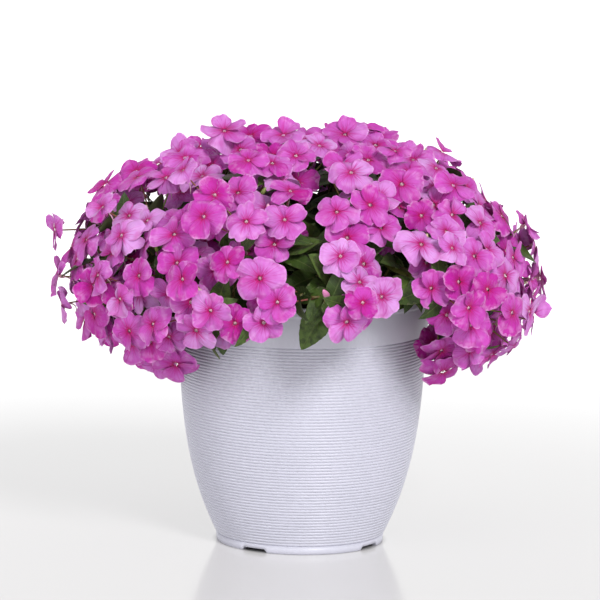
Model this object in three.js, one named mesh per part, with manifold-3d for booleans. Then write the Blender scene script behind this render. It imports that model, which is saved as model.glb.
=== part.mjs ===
// A busy lizzie (Impatiens walleriana) in full bloom, standing in a ribbed plastic pot.
// Millimetres, +Z up. The origin is the centre of the pot's base and -Y is the front.
// Azimuths are degrees from the front, growing to the right.

import * as THREE from "three";
import { mergeVertices } from "three/addons/utils/BufferGeometryUtils.js";
import Module from "manifold-3d";

const wasm = await Module();
wasm.setup();

const GAP = 0.3; // between pieces that touch

// Pot: a ten-inch pot with a belly of ribs between a smooth foot and a smooth upper band.
const POT_HEIGHT = 252;
const RIM_RADIUS = 127;
const RIM_LIP = { height: 10, depth: 1.2, chamfer: 1.5 };
const FOOT_RADIUS = 83;
const FOOT_THICKNESS = 6;
const BELLY = [[83.5, 8], [94, 30.5], [105, 63], [113.7, 99.5], [120.8, 160], [124, 211.6]]; // radius, height
const RIBS = 10;
const RIB_DEPTH = 1.2;
const WALL = 4;
const FLOOR_UNDERSIDE = 5;
const FLOOR_TOP = 9;
const POT_SIDES = 20;
const NOTCH = { azimuths: [-33, 57, 147, 237], bottomWidth: 29, topWidth: 24, height: 3.5 };
const DRAIN = { radius: 6, ring: 55, sides: 6 };

// Soil, and the young plants set in it: one in the middle and a ring round it.
const SOIL_LEVEL = 230;
const RING_PLANTS = 6;
const CROWN_RING = 62;
const MIDDLE_REACH = 90; // the middle plant carries the bunches this near the axis
const TRUNK = { radius: 5, root: 25, rise: 22, crownRadius: 9, sides: 5 };
const BRANCH = { radius: 4.2, sides: 3, steps: 3, rooted: 7, arch: 45, lowArch: 85 };
const DEPARTURE = { out: 0.3, up: 0.35, lifts: [0, 12, 24, 36] }; // how a branch leaves its crown

// The dome that the bloom centres lie on: half an ellipsoid above its widest level and half a
// flatter one below it, ending in a skirt whose height changes round the plant.
const DOME_RADIUS = 230;
const DOME_LEVEL = 260;
const DOME_RISE = 144;
const DOME_DROP = 100;
const DOME_END = 142; // degrees from the top
const DOME_LUMPS = [0.02, 0.015]; // three and five swellings round it
const DOME_LEAN = 0.02; // how much more the left shoulder swells
const SKIRT_HEIGHTS = [240, 260, 184, 194, 188, 218, 236, 222, 192, 194, 180, 236]; // each 30 degrees

// Blooms, in bunches. The pedicels of a bunch leave a knob at the tip of one branch.
const BLOOM_SPACING = 39;
const BLOOM_SHAKE = 0.12; // radians
const BLOOM_TRIES = { most: 40, depthStep: 3, depthLimit: 16, shift: 0.35, shrink: 0.008, shrinkFrom: 10 };
const BLOOM_RADII = [19, 23.5];
const OUTWARD_LEAN = 0.5; // how far faces turn from the dome's normal to the horizon
const CROWN = { from: 0.8, to: 0.94 }; // upright share of the normal, where the lean turns to the front
const LIGHT_TURN = 0.3; // how far all faces turn to the light at the front
const LOWEST_FACING = -0.1;
const UPTURN = 0.12;
const FACING_SPREAD = 0.3;
const SPIN_SPREAD = 25; // degrees
const RIPPLES = [0.4, 1.6];
const TOP_PETAL = 0.86; // size beside the other four
const LOBE_TURN = 21; // degrees from the middle of a petal
const VALLEY = { reach: 0.8, drop: 1.8 };
const THROAT_DEPTH = 3;
const CALYX = { depth: 7.5, radius: 2, turn: 48 };
const BUNCH_SPACING = 106;
const BUNCH_DEPTH = 41;
const GATHERINGS = 6;
const KNOB = { length: 11, radius: 5.5, sides: 4, root: 1.2 };
const KNOB_HEIGHTS = [225, 380]; // between which a knob's axis turns from the one pitch to the other
const KNOB_PITCHES = [-60, 88]; // degrees
const BESIDE_POT = { reach: RIM_RADIUS + 18, below: POT_HEIGHT + 20 };
const SHARED_ROOT = 0.28; // share of a pedicel that may run among the others of its bunch

// Leaves, round the branch just below each knob.
const LEAVES_PER_TIP = 2;
const LOW_TIP = POT_HEIGHT + 30; // a tip below this height has one leaf more
const LEAF_SHARES = { first: 0.97, step: 0.03 }; // along the branch
const LEAF_LENGTHS = [38, 52];
const LEAF_ASPECT = 0.3; // half width over length
const LEAF_PITCHES = [5, 35]; // degrees out of the plane across the branch
const LEAF_DROOPS = [0.08, 0.3];
const LEAF_FOLDS = [0.1, 0.3];
const LEAF_EDGE = [[0.24, 0.94], [0.64, 0.8]]; // share of the length, share of the half width
const LEAF_RIB = [0.32, 0.62];
const LEAF_TRIES = { most: 30, swing: 0.3, lower: 0.4, shrink: 0.008 };
const LEAF_ROOT = 0.45 * BRANCH.radius; // how far a petiole starts behind its branch's axis
const PETIOLE = { length: 16, radius: 1.6 };
const BLADE_THICKNESS = 1.4;
const CLEARANCE = 0.7; // that a bloom or leaf grows clear of its neighbours by

const SEED = 17; // the shape that the random draws give
const GOLDEN_ANGLE = Math.PI * (3 - Math.sqrt(5));
const UP = new THREE.Vector3(0, 0, 1);
const FRONT = new THREE.Vector3(0, -1, 0);

// A seeded source of numbers between two limits.
function dice(seed) {
  let state = seed;
  return (from, to) => {
    state = (Math.imul(state, 1664525) + 1013904223) >>> 0;
    return from + ((to - from) * state) / 2 ** 32;
  };
}

// A closed three.js geometry as a solid that can be joined and cut.
function solidOf(geometry) {
  const plain = geometry.clone();
  plain.deleteAttribute("normal");
  plain.deleteAttribute("uv");
  const merged = mergeVertices(plain, 1e-3);
  const corners = merged.index.array;
  const triVerts = [];
  for (let i = 0; i < corners.length; i += 3) {
    const [a, b, c] = corners.slice(i, i + 3);
    if (a !== b && b !== c && c !== a) triVerts.push(a, b, c);
  }
  return new wasm.Manifold(
    new wasm.Mesh({
      numProp: 3,
      vertProperties: merged.attributes.position.array,
      triVerts: new Uint32Array(triVerts),
    }),
  );
}

// A solid from corner points and triangles of their indices, seen anticlockwise from outside.
function facetedSolid(points, triangles) {
  const geometry = new THREE.BufferGeometry().setFromPoints(points);
  geometry.setIndex(triangles.flat());
  return solidOf(geometry);
}

function meshOf(name, solid, material) {
  const { vertProperties, triVerts } = solid.getMesh();
  const geometry = new THREE.BufferGeometry();
  geometry.setAttribute("position", new THREE.BufferAttribute(vertProperties, 3));
  geometry.setIndex(new THREE.BufferAttribute(triVerts, 1));
  geometry.computeVertexNormals();
  const mesh = new THREE.Mesh(geometry, material);
  mesh.name = name;
  return mesh;
}

function boxesMeet(a, b) {
  return [0, 1, 2].every((k) => a.min[k] < b.max[k] && b.min[k] < a.max[k]);
}

function crosses(solid, others) {
  const box = solid.boundingBox();
  return others.some(
    (other) => boxesMeet(box, other.boundingBox()) && solid.intersect(other).volume() > 0,
  );
}

function radians(degrees) {
  return THREE.MathUtils.degToRad(degrees);
}

// The horizontal direction at an azimuth given in radians.
function outward(azimuth) {
  return new THREE.Vector3(Math.sin(azimuth), -Math.cos(azimuth), 0);
}

function azimuthOf(point) {
  return Math.atan2(point.x, -point.y);
}

// The frame whose Z is `axis` and whose Y leans as far towards `lean` as it can.
function frameOn(axis, lean) {
  const x = new THREE.Vector3().crossVectors(lean, axis).normalize();
  const y = new THREE.Vector3().crossVectors(axis, x);
  return new THREE.Matrix4().makeBasis(x, y, axis);
}

// ---- Pot and soil ----

function lathe(profile, sides) {
  const points = profile.map(([radius, height]) => new THREE.Vector2(radius, height));
  return new THREE.LatheGeometry(points, sides).rotateX(Math.PI / 2);
}

// The ribbed belly: crests on its curve, with a groove between each two.
function ribbedWall() {
  const curve = new THREE.SplineCurve(BELLY.map(([radius, height]) => new THREE.Vector2(radius, height)));
  const rows = [];
  for (let i = 0; i <= 2 * RIBS; i++) {
    const { x, y } = curve.getPointAt(i / (2 * RIBS));
    rows.push([x - (i % 2 ? RIB_DEPTH : 0), y]);
  }
  return rows;
}

// The inside of the pot from the floor up to the lip, drawn in by `inset`.
function innerWall(inset) {
  const floor = [FOOT_RADIUS - WALL, FLOOR_TOP + inset];
  const belly = [1, 2, 4, 5].map((i) => [BELLY[i][0] - WALL, BELLY[i][1]]);
  const lip = [RIM_RADIUS - WALL, POT_HEIGHT];
  return [floor, ...belly, lip].map(([radius, height]) => [radius - inset, height]);
}

function footNotch(azimuth) {
  const outline = new THREE.Shape([
    new THREE.Vector2(-NOTCH.bottomWidth / 2, -NOTCH.height),
    new THREE.Vector2(NOTCH.bottomWidth / 2, -NOTCH.height),
    new THREE.Vector2(NOTCH.topWidth / 2, NOTCH.height),
    new THREE.Vector2(-NOTCH.topWidth / 2, NOTCH.height),
  ]);
  const notch = new THREE.ExtrudeGeometry(outline, { depth: 4 * FOOT_THICKNESS, bevelEnabled: false });
  notch.rotateX(Math.PI / 2).translate(0, 2 * FOOT_THICKNESS - FOOT_RADIUS, 0);
  return solidOf(notch.rotateZ(radians(azimuth)));
}

function drainHole(azimuth) {
  const hole = new THREE.CylinderGeometry(DRAIN.radius, DRAIN.radius, 2 * FLOOR_TOP, DRAIN.sides);
  hole.rotateX(Math.PI / 2).translate(0, -DRAIN.ring, FLOOR_TOP / 2);
  return solidOf(hole.rotateZ(radians(azimuth)));
}

function makePot() {
  const lipFoot = POT_HEIGHT - RIM_LIP.height;
  const profile = [
    [0, FLOOR_UNDERSIDE],
    [FOOT_RADIUS - FOOT_THICKNESS, FLOOR_UNDERSIDE],
    [FOOT_RADIUS - FOOT_THICKNESS, 0],
    [FOOT_RADIUS, 0],
    ...ribbedWall(),
    [RIM_RADIUS - RIM_LIP.depth, lipFoot],
    [RIM_RADIUS, lipFoot + RIM_LIP.chamfer],
    [RIM_RADIUS, POT_HEIGHT],
    ...innerWall(0).reverse(),
    [0, FLOOR_TOP],
  ];
  let pot = solidOf(lathe(profile, POT_SIDES));
  for (const azimuth of NOTCH.azimuths) {
    pot = pot.subtract(footNotch(azimuth)).subtract(drainHole(azimuth));
  }
  return pot;
}

// Soil up to SOIL_LEVEL, with a hole for each plant.
function makeSoil(crowns) {
  const wall = innerWall(GAP);
  const [belowRadius, belowHeight] = wall.at(-2);
  const [lipRadius, lipHeight] = wall.at(-1);
  const share = (SOIL_LEVEL - belowHeight) / (lipHeight - belowHeight);
  const edge = THREE.MathUtils.lerp(belowRadius, lipRadius, share);
  const profile = [[0, FLOOR_TOP + GAP], ...wall.slice(0, -1), [edge, SOIL_LEVEL], [0, SOIL_LEVEL]];
  let soil = solidOf(lathe(profile, POT_SIDES));
  for (const crown of crowns) {
    const depth = TRUNK.root + GAP;
    const radius = TRUNK.radius + 2 * GAP;
    const hole = new THREE.CylinderGeometry(radius, radius, 2 * depth, TRUNK.sides);
    soil = soil.subtract(solidOf(hole.rotateX(Math.PI / 2).translate(crown.x, crown.y, crown.z)));
  }
  return soil;
}

// ---- Dome ----

function skirtHeight(azimuth) {
  const place = ((azimuth / (2 * Math.PI) + 2) % 1) * SKIRT_HEIGHTS.length;
  const before = Math.floor(place);
  const after = (before + 1) % SKIRT_HEIGHTS.length;
  const share = THREE.MathUtils.smoothstep(place - before, 0, 1);
  return THREE.MathUtils.lerp(SKIRT_HEIGHTS[before], SKIRT_HEIGHTS[after], share);
}

// The dome's point and outward normal at an azimuth and an angle from the top, in radians.
// It bulges unevenly.
function domeAt(azimuth, polar) {
  const rise = polar < Math.PI / 2 ? DOME_RISE : DOME_DROP;
  const [three, five] = DOME_LUMPS;
  const lumps = three * Math.sin(3 * azimuth + 1) + five * Math.sin(5 * azimuth + 3 * polar);
  const swell = 1 + lumps - DOME_LEAN * Math.sin(azimuth) * Math.sin(2 * polar);
  const side = outward(azimuth);
  const point = side.clone().multiplyScalar(DOME_RADIUS * swell * Math.sin(polar));
  point.z = DOME_LEVEL + rise * swell * Math.cos(polar);
  const normal = side.multiplyScalar(rise * Math.sin(polar));
  normal.z = DOME_RADIUS * Math.cos(polar);
  return { point, normal: normal.normalize() };
}

// Angles from the top, each of which closes off one more cell of the dome's area.
function polarAngles(spacing) {
  const cell = (spacing * spacing * Math.sqrt(3)) / 2;
  const step = radians(0.25);
  const angles = [];
  let area = cell / 2;
  for (let polar = step; polar < radians(DOME_END); polar += step) {
    const here = domeAt(0, polar).point;
    const before = domeAt(0, polar - step).point;
    area += 2 * Math.PI * Math.abs(here.y) * here.distanceTo(before);
    while (area > cell) {
      angles.push(polar);
      area -= cell;
    }
  }
  return angles;
}

// Places on the dome at an even spacing: a golden-angle spiral, shaken a little.
function spiral(spacing, shake, roll) {
  const places = [];
  polarAngles(spacing).forEach((polar, i) => {
    const azimuth = i * GOLDEN_ANGLE + roll(-shake, shake) / Math.max(Math.sin(polar), 0.4);
    const { point, normal } = domeAt(azimuth, polar + roll(-shake, shake) / 2);
    if (point.z > skirtHeight(azimuth)) places.push({ point, normal, azimuth });
  });
  return places;
}

function shakenBy(spread, roll) {
  return new THREE.Vector3(roll(-1, 1), roll(-1, 1), roll(-1, 1)).multiplyScalar(spread);
}

// Where blooms stand, and which way each one faces: outwards, those on the crown to the front, all
// turned a little to the light there, and never far below level.
function bloomPlaces(roll) {
  return spiral(BLOOM_SPACING, BLOOM_SHAKE, roll).map(({ point, normal, azimuth }) => {
    const crown = THREE.MathUtils.smoothstep(normal.z, CROWN.from, CROWN.to);
    const lean = outward(azimuth).lerp(FRONT, crown);
    const facing = normal.clone().addScaledVector(lean, OUTWARD_LEAN).addScaledVector(FRONT, LIGHT_TURN);
    facing.z = Math.max(facing.z, LOWEST_FACING) + UPTURN;
    facing.add(shakenBy(FACING_SPREAD, roll));
    return { point, normal, facing: facing.normalize() };
  });
}

function middleOf(points) {
  const sum = points.reduce((total, point) => total.add(point), new THREE.Vector3());
  return sum.divideScalar(points.length);
}

// Blooms gathered round the nearest of evenly spaced centres, which settle in their midst.
function gather(places, roll) {
  let centres = spiral(BUNCH_SPACING, 0, roll).map(({ point }) => point);
  let bunches = [];
  for (let round = 0; round < GATHERINGS; round++) {
    bunches = centres.map(() => []);
    for (const place of places) {
      const distances = centres.map((centre) => centre.distanceTo(place.point));
      bunches[distances.indexOf(Math.min(...distances))].push(place);
    }
    bunches = bunches.filter((bunch) => bunch.length);
    centres = bunches.map((bunch) => middleOf(bunch.map(({ point }) => point)));
  }
  return bunches;
}

// The knob of a bunch: where it sits inside the dome, and the way its branch arrives there.
// Low knobs keep outside the pot and hang from a branch that comes down to them.
function knobOf(bunch) {
  const seat = middleOf(bunch.map(({ point }) => point));
  const normal = middleOf(bunch.map((place) => place.normal)).normalize();
  seat.addScaledVector(normal, -BUNCH_DEPTH);
  const side = outward(azimuthOf(seat));
  const short = BESIDE_POT.reach - Math.hypot(seat.x, seat.y);
  if (seat.z < BESIDE_POT.below && short > 0) seat.addScaledVector(side, short);
  const pitch = radians(THREE.MathUtils.mapLinear(seat.z, ...KNOB_HEIGHTS, ...KNOB_PITCHES));
  const axis = side.multiplyScalar(Math.cos(pitch)).addScaledVector(UP, Math.sin(pitch));
  return { seat, axis };
}

// ---- Blooms ----

// One bloom, with a pedicel that narrows to a point in the knob. Each of its five petals has
// two lobes and the valley beside it, round a sunken throat. The topmost is the smallest.
function bloomSolid({ centre, facing, radius, spin, ripple }, root, margin = 0) {
  const frame = frameOn(facing, UP);
  const place = (degrees, reach, height) => {
    const angle = radians(90 + spin + degrees);
    const point = new THREE.Vector3(reach * Math.cos(angle), reach * Math.sin(angle), height);
    return point.applyMatrix4(frame).add(centre);
  };
  const rim = [];
  for (let petal = 0; petal < 5; petal++) {
    const size = (petal === 0 ? TOP_PETAL : 1) * radius + margin;
    const lift = (corner) => ripple * Math.sin(2.4 * petal + 3 * corner);
    rim.push(place(72 * petal - LOBE_TURN, size, lift(0)));
    rim.push(place(72 * petal + LOBE_TURN, size, lift(1)));
    rim.push(place(72 * petal + 36, size * VALLEY.reach, lift(2) - VALLEY.drop));
  }
  const throat = place(0, 0, margin - THROAT_DEPTH);
  const calyx = [0, 120, 240].map((turn) => {
    return place(CALYX.turn + turn, CALYX.radius + margin, -CALYX.depth - margin);
  });
  const rimAt = (i) => i % rim.length;
  const calyxAt = (i) => rim.length + (i % 3);
  const [throatAt, rootAt] = [rim.length + 3, rim.length + 4];
  const triangles = [];
  for (let i = 0; i < rim.length; i++) {
    triangles.push([throatAt, rimAt(i), rimAt(i + 1)]);
    triangles.push([calyxAt(Math.floor(i / 5)), rimAt(i + 1), rimAt(i)]);
  }
  for (let i = 0; i < 3; i++) {
    triangles.push([calyxAt(i), calyxAt(i + 1), rimAt(5 * i + 5)]);
    triangles.push([calyxAt(i), rootAt, calyxAt(i + 1)]);
  }
  return facetedSolid([...rim, ...calyx, throat, root], triangles);
}

function knobSolid({ seat, axis }) {
  const knob = new THREE.CylinderGeometry(KNOB.radius, BRANCH.radius, KNOB.length, KNOB.sides);
  knob.rotateX(Math.PI / 2).translate(0, 0, KNOB.length / 2);
  knob.applyMatrix4(frameOn(axis, outward(azimuthOf(seat) + 1)));
  return solidOf(knob.translate(seat.x, seat.y, seat.z));
}

// A bloom's facing, turned along its pedicel the more it looks back at its root.
function facingFrom(wanted, centre, root) {
  const stalk = centre.clone().sub(root).normalize();
  return wanted.addScaledVector(stalk, Math.max(0.25, 0.9 - 1.2 * wanted.dot(stalk))).normalize();
}

// A bloom at the first depth, place, tilt and size at which it clears what grew before it. It
// tries its own place first, then ones further in and out. Its ghost is a little larger, and
// leaves out the part of the pedicel near the knob, where the pedicels of a bunch meet.
function settleBloom(place, knob, grown, roll) {
  const root = knob.seat.clone().addScaledVector(knob.axis, KNOB.root);
  const full = roll(...BLOOM_RADII);
  const { most, depthStep, depthLimit, shift, shrink, shrinkFrom } = BLOOM_TRIES;
  for (let attempt = 0; attempt < most; attempt++) {
    const depth = ((attempt % 2 ? -1 : 1) * depthStep * Math.ceil(attempt / 2)) % depthLimit;
    const centre = place.point.clone().addScaledVector(place.normal, depth);
    centre.add(shakenBy(attempt * shift, roll));
    const facing = facingFrom(place.facing.clone().lerp(place.normal, attempt / most), centre, root);
    const radius = full * (1 - shrink * Math.max(0, attempt - shrinkFrom));
    const spin = roll(-SPIN_SPREAD, SPIN_SPREAD);
    const bloom = { centre, facing, radius, spin, ripple: roll(...RIPPLES) };
    const ghost = bloomSolid(bloom, root.clone().lerp(centre, SHARED_ROOT), CLEARANCE);
    if (!crosses(ghost, grown)) return { solid: bloomSolid(bloom, root), ghost };
  }
  return null;
}

// Bunches of blooms on their knobs, clear of each other and of what stands there already.
function growBunches(bunches, standing, roll) {
  const grown = [...standing];
  for (const bunch of bunches) {
    bunch.solid = knobSolid(bunch.knob);
    for (const place of bunch.places) {
      const bloom = settleBloom(place, bunch.knob, grown, roll);
      if (!bloom) continue;
      bunch.solid = bunch.solid.add(bloom.solid);
      grown.push(bloom.ghost);
    }
  }
}

// ---- Leafy stems ----

function crownPlaces() {
  const crowns = [new THREE.Vector3(0, 0, SOIL_LEVEL)];
  for (let i = 0; i < RING_PLANTS; i++) {
    const azimuth = radians(((i + 0.5) * 360) / RING_PLANTS);
    crowns.push(outward(azimuth).multiplyScalar(CROWN_RING).setZ(SOIL_LEVEL));
  }
  return crowns;
}

// The part of a plant in the soil and its swollen first node above, which the branches leave.
function trunkSolid(crown) {
  const profile = [
    [0, -TRUNK.root],
    [TRUNK.radius, -TRUNK.root],
    [TRUNK.radius, TRUNK.rise / 3],
    [TRUNK.crownRadius, TRUNK.rise],
    [0, TRUNK.rise],
  ];
  return solidOf(lathe(profile, TRUNK.sides).translate(crown.x, crown.y, crown.z));
}

// The route from a plant's crown to a knob. Low knobs are reached over the rim of the pot.
function branchCurve(crown, { seat, axis }, lift) {
  const start = crown.clone().addScaledVector(UP, TRUNK.rise - BRANCH.rooted);
  const end = seat.clone().addScaledVector(axis, -GAP);
  const low = axis.z < 0;
  const arrival = end.clone().addScaledVector(axis, -(low ? BRANCH.lowArch : BRANCH.arch));
  const departure = end.clone().sub(start).setZ(0).multiplyScalar(DEPARTURE.out).add(start);
  departure.z += lift + (low ? BRANCH.lowArch : (end.z - start.z) * DEPARTURE.up);
  return new THREE.CubicBezierCurve3(start, departure, arrival, end);
}

function branchSolid(curve) {
  const corners = [];
  for (let i = 0; i < BRANCH.sides; i++) {
    const angle = (i * 2 * Math.PI) / BRANCH.sides;
    corners.push(new THREE.Vector2(Math.cos(angle), Math.sin(angle)).multiplyScalar(BRANCH.radius));
  }
  const settings = { steps: BRANCH.steps, extrudePath: curve };
  return solidOf(new THREE.ExtrudeGeometry(new THREE.Shape(corners), settings));
}

// The plants in the order in which they may carry a bunch: the middle one first for the top,
// or else the nearest ones round it.
function plantsFor(seat, plants) {
  const distance = ({ crown }) => Math.hypot(seat.x - crown.x, seat.y - crown.y);
  const [middle, ...ring] = plants;
  ring.sort((a, b) => distance(a) - distance(b));
  return distance(middle) < MIDDLE_REACH ? [middle, ...ring] : [...ring, middle];
}

// Grows the branch of a knob from the first plant that reaches it clear of the others.
function growBranch(knob, plants, pot) {
  for (const lift of DEPARTURE.lifts) {
    for (const plant of plantsFor(knob.seat, plants).slice(0, 3)) {
      const curve = branchCurve(plant.crown, knob, lift);
      const solid = branchSolid(curve);
      const others = plants.filter((other) => other !== plant);
      if (crosses(solid, [pot, ...others.map((other) => other.solid)])) continue;
      plant.branches.push({ curve, solid });
      plant.solid = plant.solid.add(solid);
      return;
    }
  }
  throw new Error("no plant reaches a knob");
}

// One leaf along +X of its frame: a petiole that narrows to a point in the branch, then a
// blade folded along its midrib, broadest before the middle, with a drawn-out tip that bends
// down. `clear` leaves out the start of the petiole.
function leafSolid({ root, frame, length, droop, fold }, margin = 0, clear = 0) {
  const place = (x, y, z) => new THREE.Vector3(x, y, z).applyMatrix4(frame).add(root);
  const blade = (share, y, z) => {
    return place(PETIOLE.length + share * length, y, z - droop * length * share * share);
  };
  const half = length * LEAF_ASPECT;
  const thick = PETIOLE.radius + margin;
  const points = [place(clear, 0, 0)];
  for (const [y, z] of [[1, 0.6], [-1, 0.6], [0, -1]]) {
    points.push(place(PETIOLE.length, y * thick, z * thick));
  }
  for (const side of [1, -1]) {
    for (const [share, width] of LEAF_EDGE) {
      points.push(blade(share, side * (width * half + margin), fold * width * half));
    }
  }
  points.push(blade(1 + margin / length, 0, 0));
  for (const height of [margin, -BLADE_THICKNESS - margin]) {
    for (const share of LEAF_RIB) points.push(blade(share, 0, height));
  }
  const [rootPoint, neckA, neckB, neckC] = [0, 1, 2, 3];
  const [left1, left2, right1, right2, tip] = [4, 5, 6, 7, 8];
  const [rib1, rib2, keel1, keel2] = [9, 10, 11, 12];
  return facetedSolid(points, [
    [rootPoint, neckA, neckC], [rootPoint, neckC, neckB], [rootPoint, neckB, neckA],
    [neckA, neckB, rib1],
    [neckA, rib1, left1], [left1, rib1, left2], [rib1, rib2, left2], [rib2, tip, left2],
    [neckB, right1, rib1], [right1, right2, rib1], [rib1, right2, rib2], [rib2, right2, tip],
    [neckA, left1, neckC], [neckB, neckC, right1],
    [neckC, left1, keel1], [left1, left2, keel1], [keel1, left2, keel2], [keel2, left2, tip],
    [neckC, keel1, right1], [right1, keel1, right2], [keel1, keel2, right2], [keel2, tip, right2],
  ]);
}

// The frame of a leaf that leaves a branch at an angle round it and a pitch along it. Its
// upper side looks half up and half towards the tip of the branch.
function leafFrame(around, tangent, angle, pitch) {
  const along = new THREE.Vector3(Math.cos(angle), Math.sin(angle), 0).applyMatrix4(around);
  along.multiplyScalar(Math.cos(pitch)).addScaledVector(tangent, Math.sin(pitch)).normalize();
  const across = tangent.clone().lerp(UP, 0.5).cross(along).normalize();
  const above = along.clone().cross(across);
  return new THREE.Matrix4().makeBasis(along, across, above);
}

// A leaf that leaves one face of a branch, tried at many angles until it clears everything.
function settleLeaf({ curve }, share, face, standing, roll) {
  const seat = curve.getPointAt(share);
  const tangent = curve.getTangentAt(share);
  const { normals, binormals } = curve.computeFrenetFrames(BRANCH.steps);
  const around = new THREE.Matrix4().makeBasis(normals.at(-1), binormals.at(-1), tangent);
  const { most, swing, lower, shrink } = LEAF_TRIES;
  for (let attempt = 0; attempt < most; attempt++) {
    const turned = face + 0.5 + Math.floor(roll(0, 1 + attempt / 8));
    const angle = (turned * 2 * Math.PI) / BRANCH.sides + roll(-swing, swing);
    const pitch = radians(roll(...LEAF_PITCHES) - attempt * lower);
    const frame = leafFrame(around, tangent, angle, pitch);
    const along = new THREE.Vector3().setFromMatrixColumn(frame, 0);
    const leaf = {
      root: seat.clone().addScaledVector(along, -LEAF_ROOT),
      frame,
      length: roll(...LEAF_LENGTHS) * (1 - attempt * shrink),
      droop: roll(...LEAF_DROOPS),
      fold: roll(...LEAF_FOLDS),
    };
    const ghost = leafSolid(leaf, CLEARANCE, 2 * BRANCH.radius);
    if (!crosses(ghost, standing)) return { solid: leafSolid(leaf), ghost };
  }
  return null;
}

// Leaves round the tips of every branch, clear of each other and of everything else.
function growLeaves(plants, standing, roll) {
  for (const plant of plants) {
    const others = plants.filter((other) => other !== plant).map(({ solid }) => solid);
    const own = plant.branches.map(({ solid }) => solid);
    for (const branch of plant.branches) {
      const low = branch.curve.v3.z < LOW_TIP;
      for (let i = 0; i < LEAVES_PER_TIP + (low ? 1 : 0); i++) {
        const share = LEAF_SHARES.first - LEAF_SHARES.step * i;
        const leaf = settleLeaf(branch, share, i, [...standing, ...others, ...own], roll);
        if (!leaf) continue;
        plant.solid = plant.solid.add(leaf.solid);
        own.push(leaf.ghost);
      }
    }
  }
}

// ---- The whole plant ----

const roll = dice(SEED);
const crowns = crownPlaces();
const pot = makePot();
const soil = makeSoil(crowns);
const bunches = gather(bloomPlaces(roll), roll).map((places) => ({ places, knob: knobOf(places) }));
const plants = crowns.map((crown) => ({ crown, solid: trunkSolid(crown), branches: [] }));
for (const { knob } of bunches) growBranch(knob, plants, pot);
growBunches(bunches, [pot, ...plants.map(({ solid }) => solid)], roll);
growLeaves(plants, [pot, soil, ...bunches.map(({ solid }) => solid)], roll);

const potMaterial = new THREE.MeshStandardMaterial({ color: "#d3d2df", roughness: 0.45 });
const soilMaterial = new THREE.MeshStandardMaterial({ color: "#2b2119", roughness: 1 });
const leafMaterial = new THREE.MeshStandardMaterial({ color: "#384027", roughness: 0.5 });
const petalMaterial = new THREE.MeshStandardMaterial({ color: "#c558b3", roughness: 0.7 });

const group = new THREE.Group();
group.add(meshOf("pot", pot, potMaterial));
group.add(meshOf("soil", soil, soilMaterial));
bunches.forEach(({ solid }, i) => {
  group.add(meshOf(`bloom_bunch_${String(i + 1).padStart(2, "0")}`, solid, petalMaterial));
});
plants.forEach(({ solid }, i) => group.add(meshOf(`leafy_stems_${i + 1}`, solid, leafMaterial)));

export default group;
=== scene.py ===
"""A busy lizzie in full bloom in a ribbed pot: its looks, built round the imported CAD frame.

Metres, +Z up, -Y is the front. Every bloom, leaf and branch is read back from the facets of its CAD
node and rebuilt at the same place in fine, with petals, eyes, spurs, veins and scalloped edges. The
pot and the soil are turned from profiles.
"""

import math
from collections import defaultdict, namedtuple

import bmesh
import bpy
import numpy as np
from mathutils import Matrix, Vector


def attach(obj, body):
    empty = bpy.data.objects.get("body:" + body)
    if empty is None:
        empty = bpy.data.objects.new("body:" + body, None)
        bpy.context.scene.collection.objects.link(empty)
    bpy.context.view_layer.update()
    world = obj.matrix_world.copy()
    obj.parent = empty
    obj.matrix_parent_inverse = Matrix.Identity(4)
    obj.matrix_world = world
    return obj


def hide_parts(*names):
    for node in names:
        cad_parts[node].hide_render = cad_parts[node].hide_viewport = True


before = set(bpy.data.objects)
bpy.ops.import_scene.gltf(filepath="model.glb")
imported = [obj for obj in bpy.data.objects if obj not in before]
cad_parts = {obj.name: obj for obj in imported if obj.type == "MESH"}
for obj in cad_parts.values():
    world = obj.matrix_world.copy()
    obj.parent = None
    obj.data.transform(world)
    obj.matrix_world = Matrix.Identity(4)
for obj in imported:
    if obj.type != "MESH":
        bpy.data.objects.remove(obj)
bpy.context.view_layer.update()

MM = 0.001
UP = np.array([0.0, 0.0, 1.0])
FRONT = np.array([0.0, -1.0, 0.0])
GOLDEN_ANGLE = math.pi * (3 - math.sqrt(5))

# Sizes of the CAD solids, by which their parts are found again.
PETALS = 5
RIM_POINTS = 3 * PETALS  # round a bloom's throat: two lobes and a valley for each petal
THROAT_DEPTH = 3 * MM
CALYX_DEPTH = 7.5 * MM
KNOB_ROOT = 1.2 * MM
KNOB_GAP = 0.3 * MM  # from the tip of its branch
BRANCH_RADIUS = 4.2 * MM
BRANCH_ROOTED = 15 * MM
BRANCH_ARCHES = (45 * MM, 85 * MM)  # for bunches above, and for those that hang
BRANCH_LIFTS = (0, 12 * MM, 24 * MM, 36 * MM)
DEPARTURE = {"out": 0.3, "up": 0.35}  # of a branch from its plant, over its way out and up
SOIL_LEVEL = 230 * MM
TRUNK = {"radius": 5 * MM, "root": 25 * MM}
RING_PLANTS = 6
CROWN_RING = 62 * MM
RIB_NEIGHBOURS = 7  # points round the first point of a leaf's midrib
NECK_WIDTH = 3.2 * MM
NECK_SLANT = 3.019 * MM  # from either upper corner of a leaf's neck to the lower one
NECK_RISE = 0.96 * MM
PETIOLE_LENGTH = 16 * MM
LEAF_ASPECT = 0.3
LEAF_LENGTHS = (30 * MM, 80 * MM)  # a shorter or longer find is no leaf
CLOSE = 0.03 * MM  # how near a measure must be to count as the one looked for

# A bloom's petals each have a size and two lobes' heights. A leaf's axes are along, across and above.
Bloom = namedtuple("Bloom", "centre facing up sizes lobes")
Leaf = namedtuple("Leaf", "root base axes length droop fold")


def unit(vector):
    return vector / np.linalg.norm(vector)


def smooth(value, low, high):
    """0 below low, 1 above high, and an even rise between them."""
    share = np.clip((value - low) / (high - low), 0, 1)
    return share * share * (3 - 2 * share)


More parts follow.
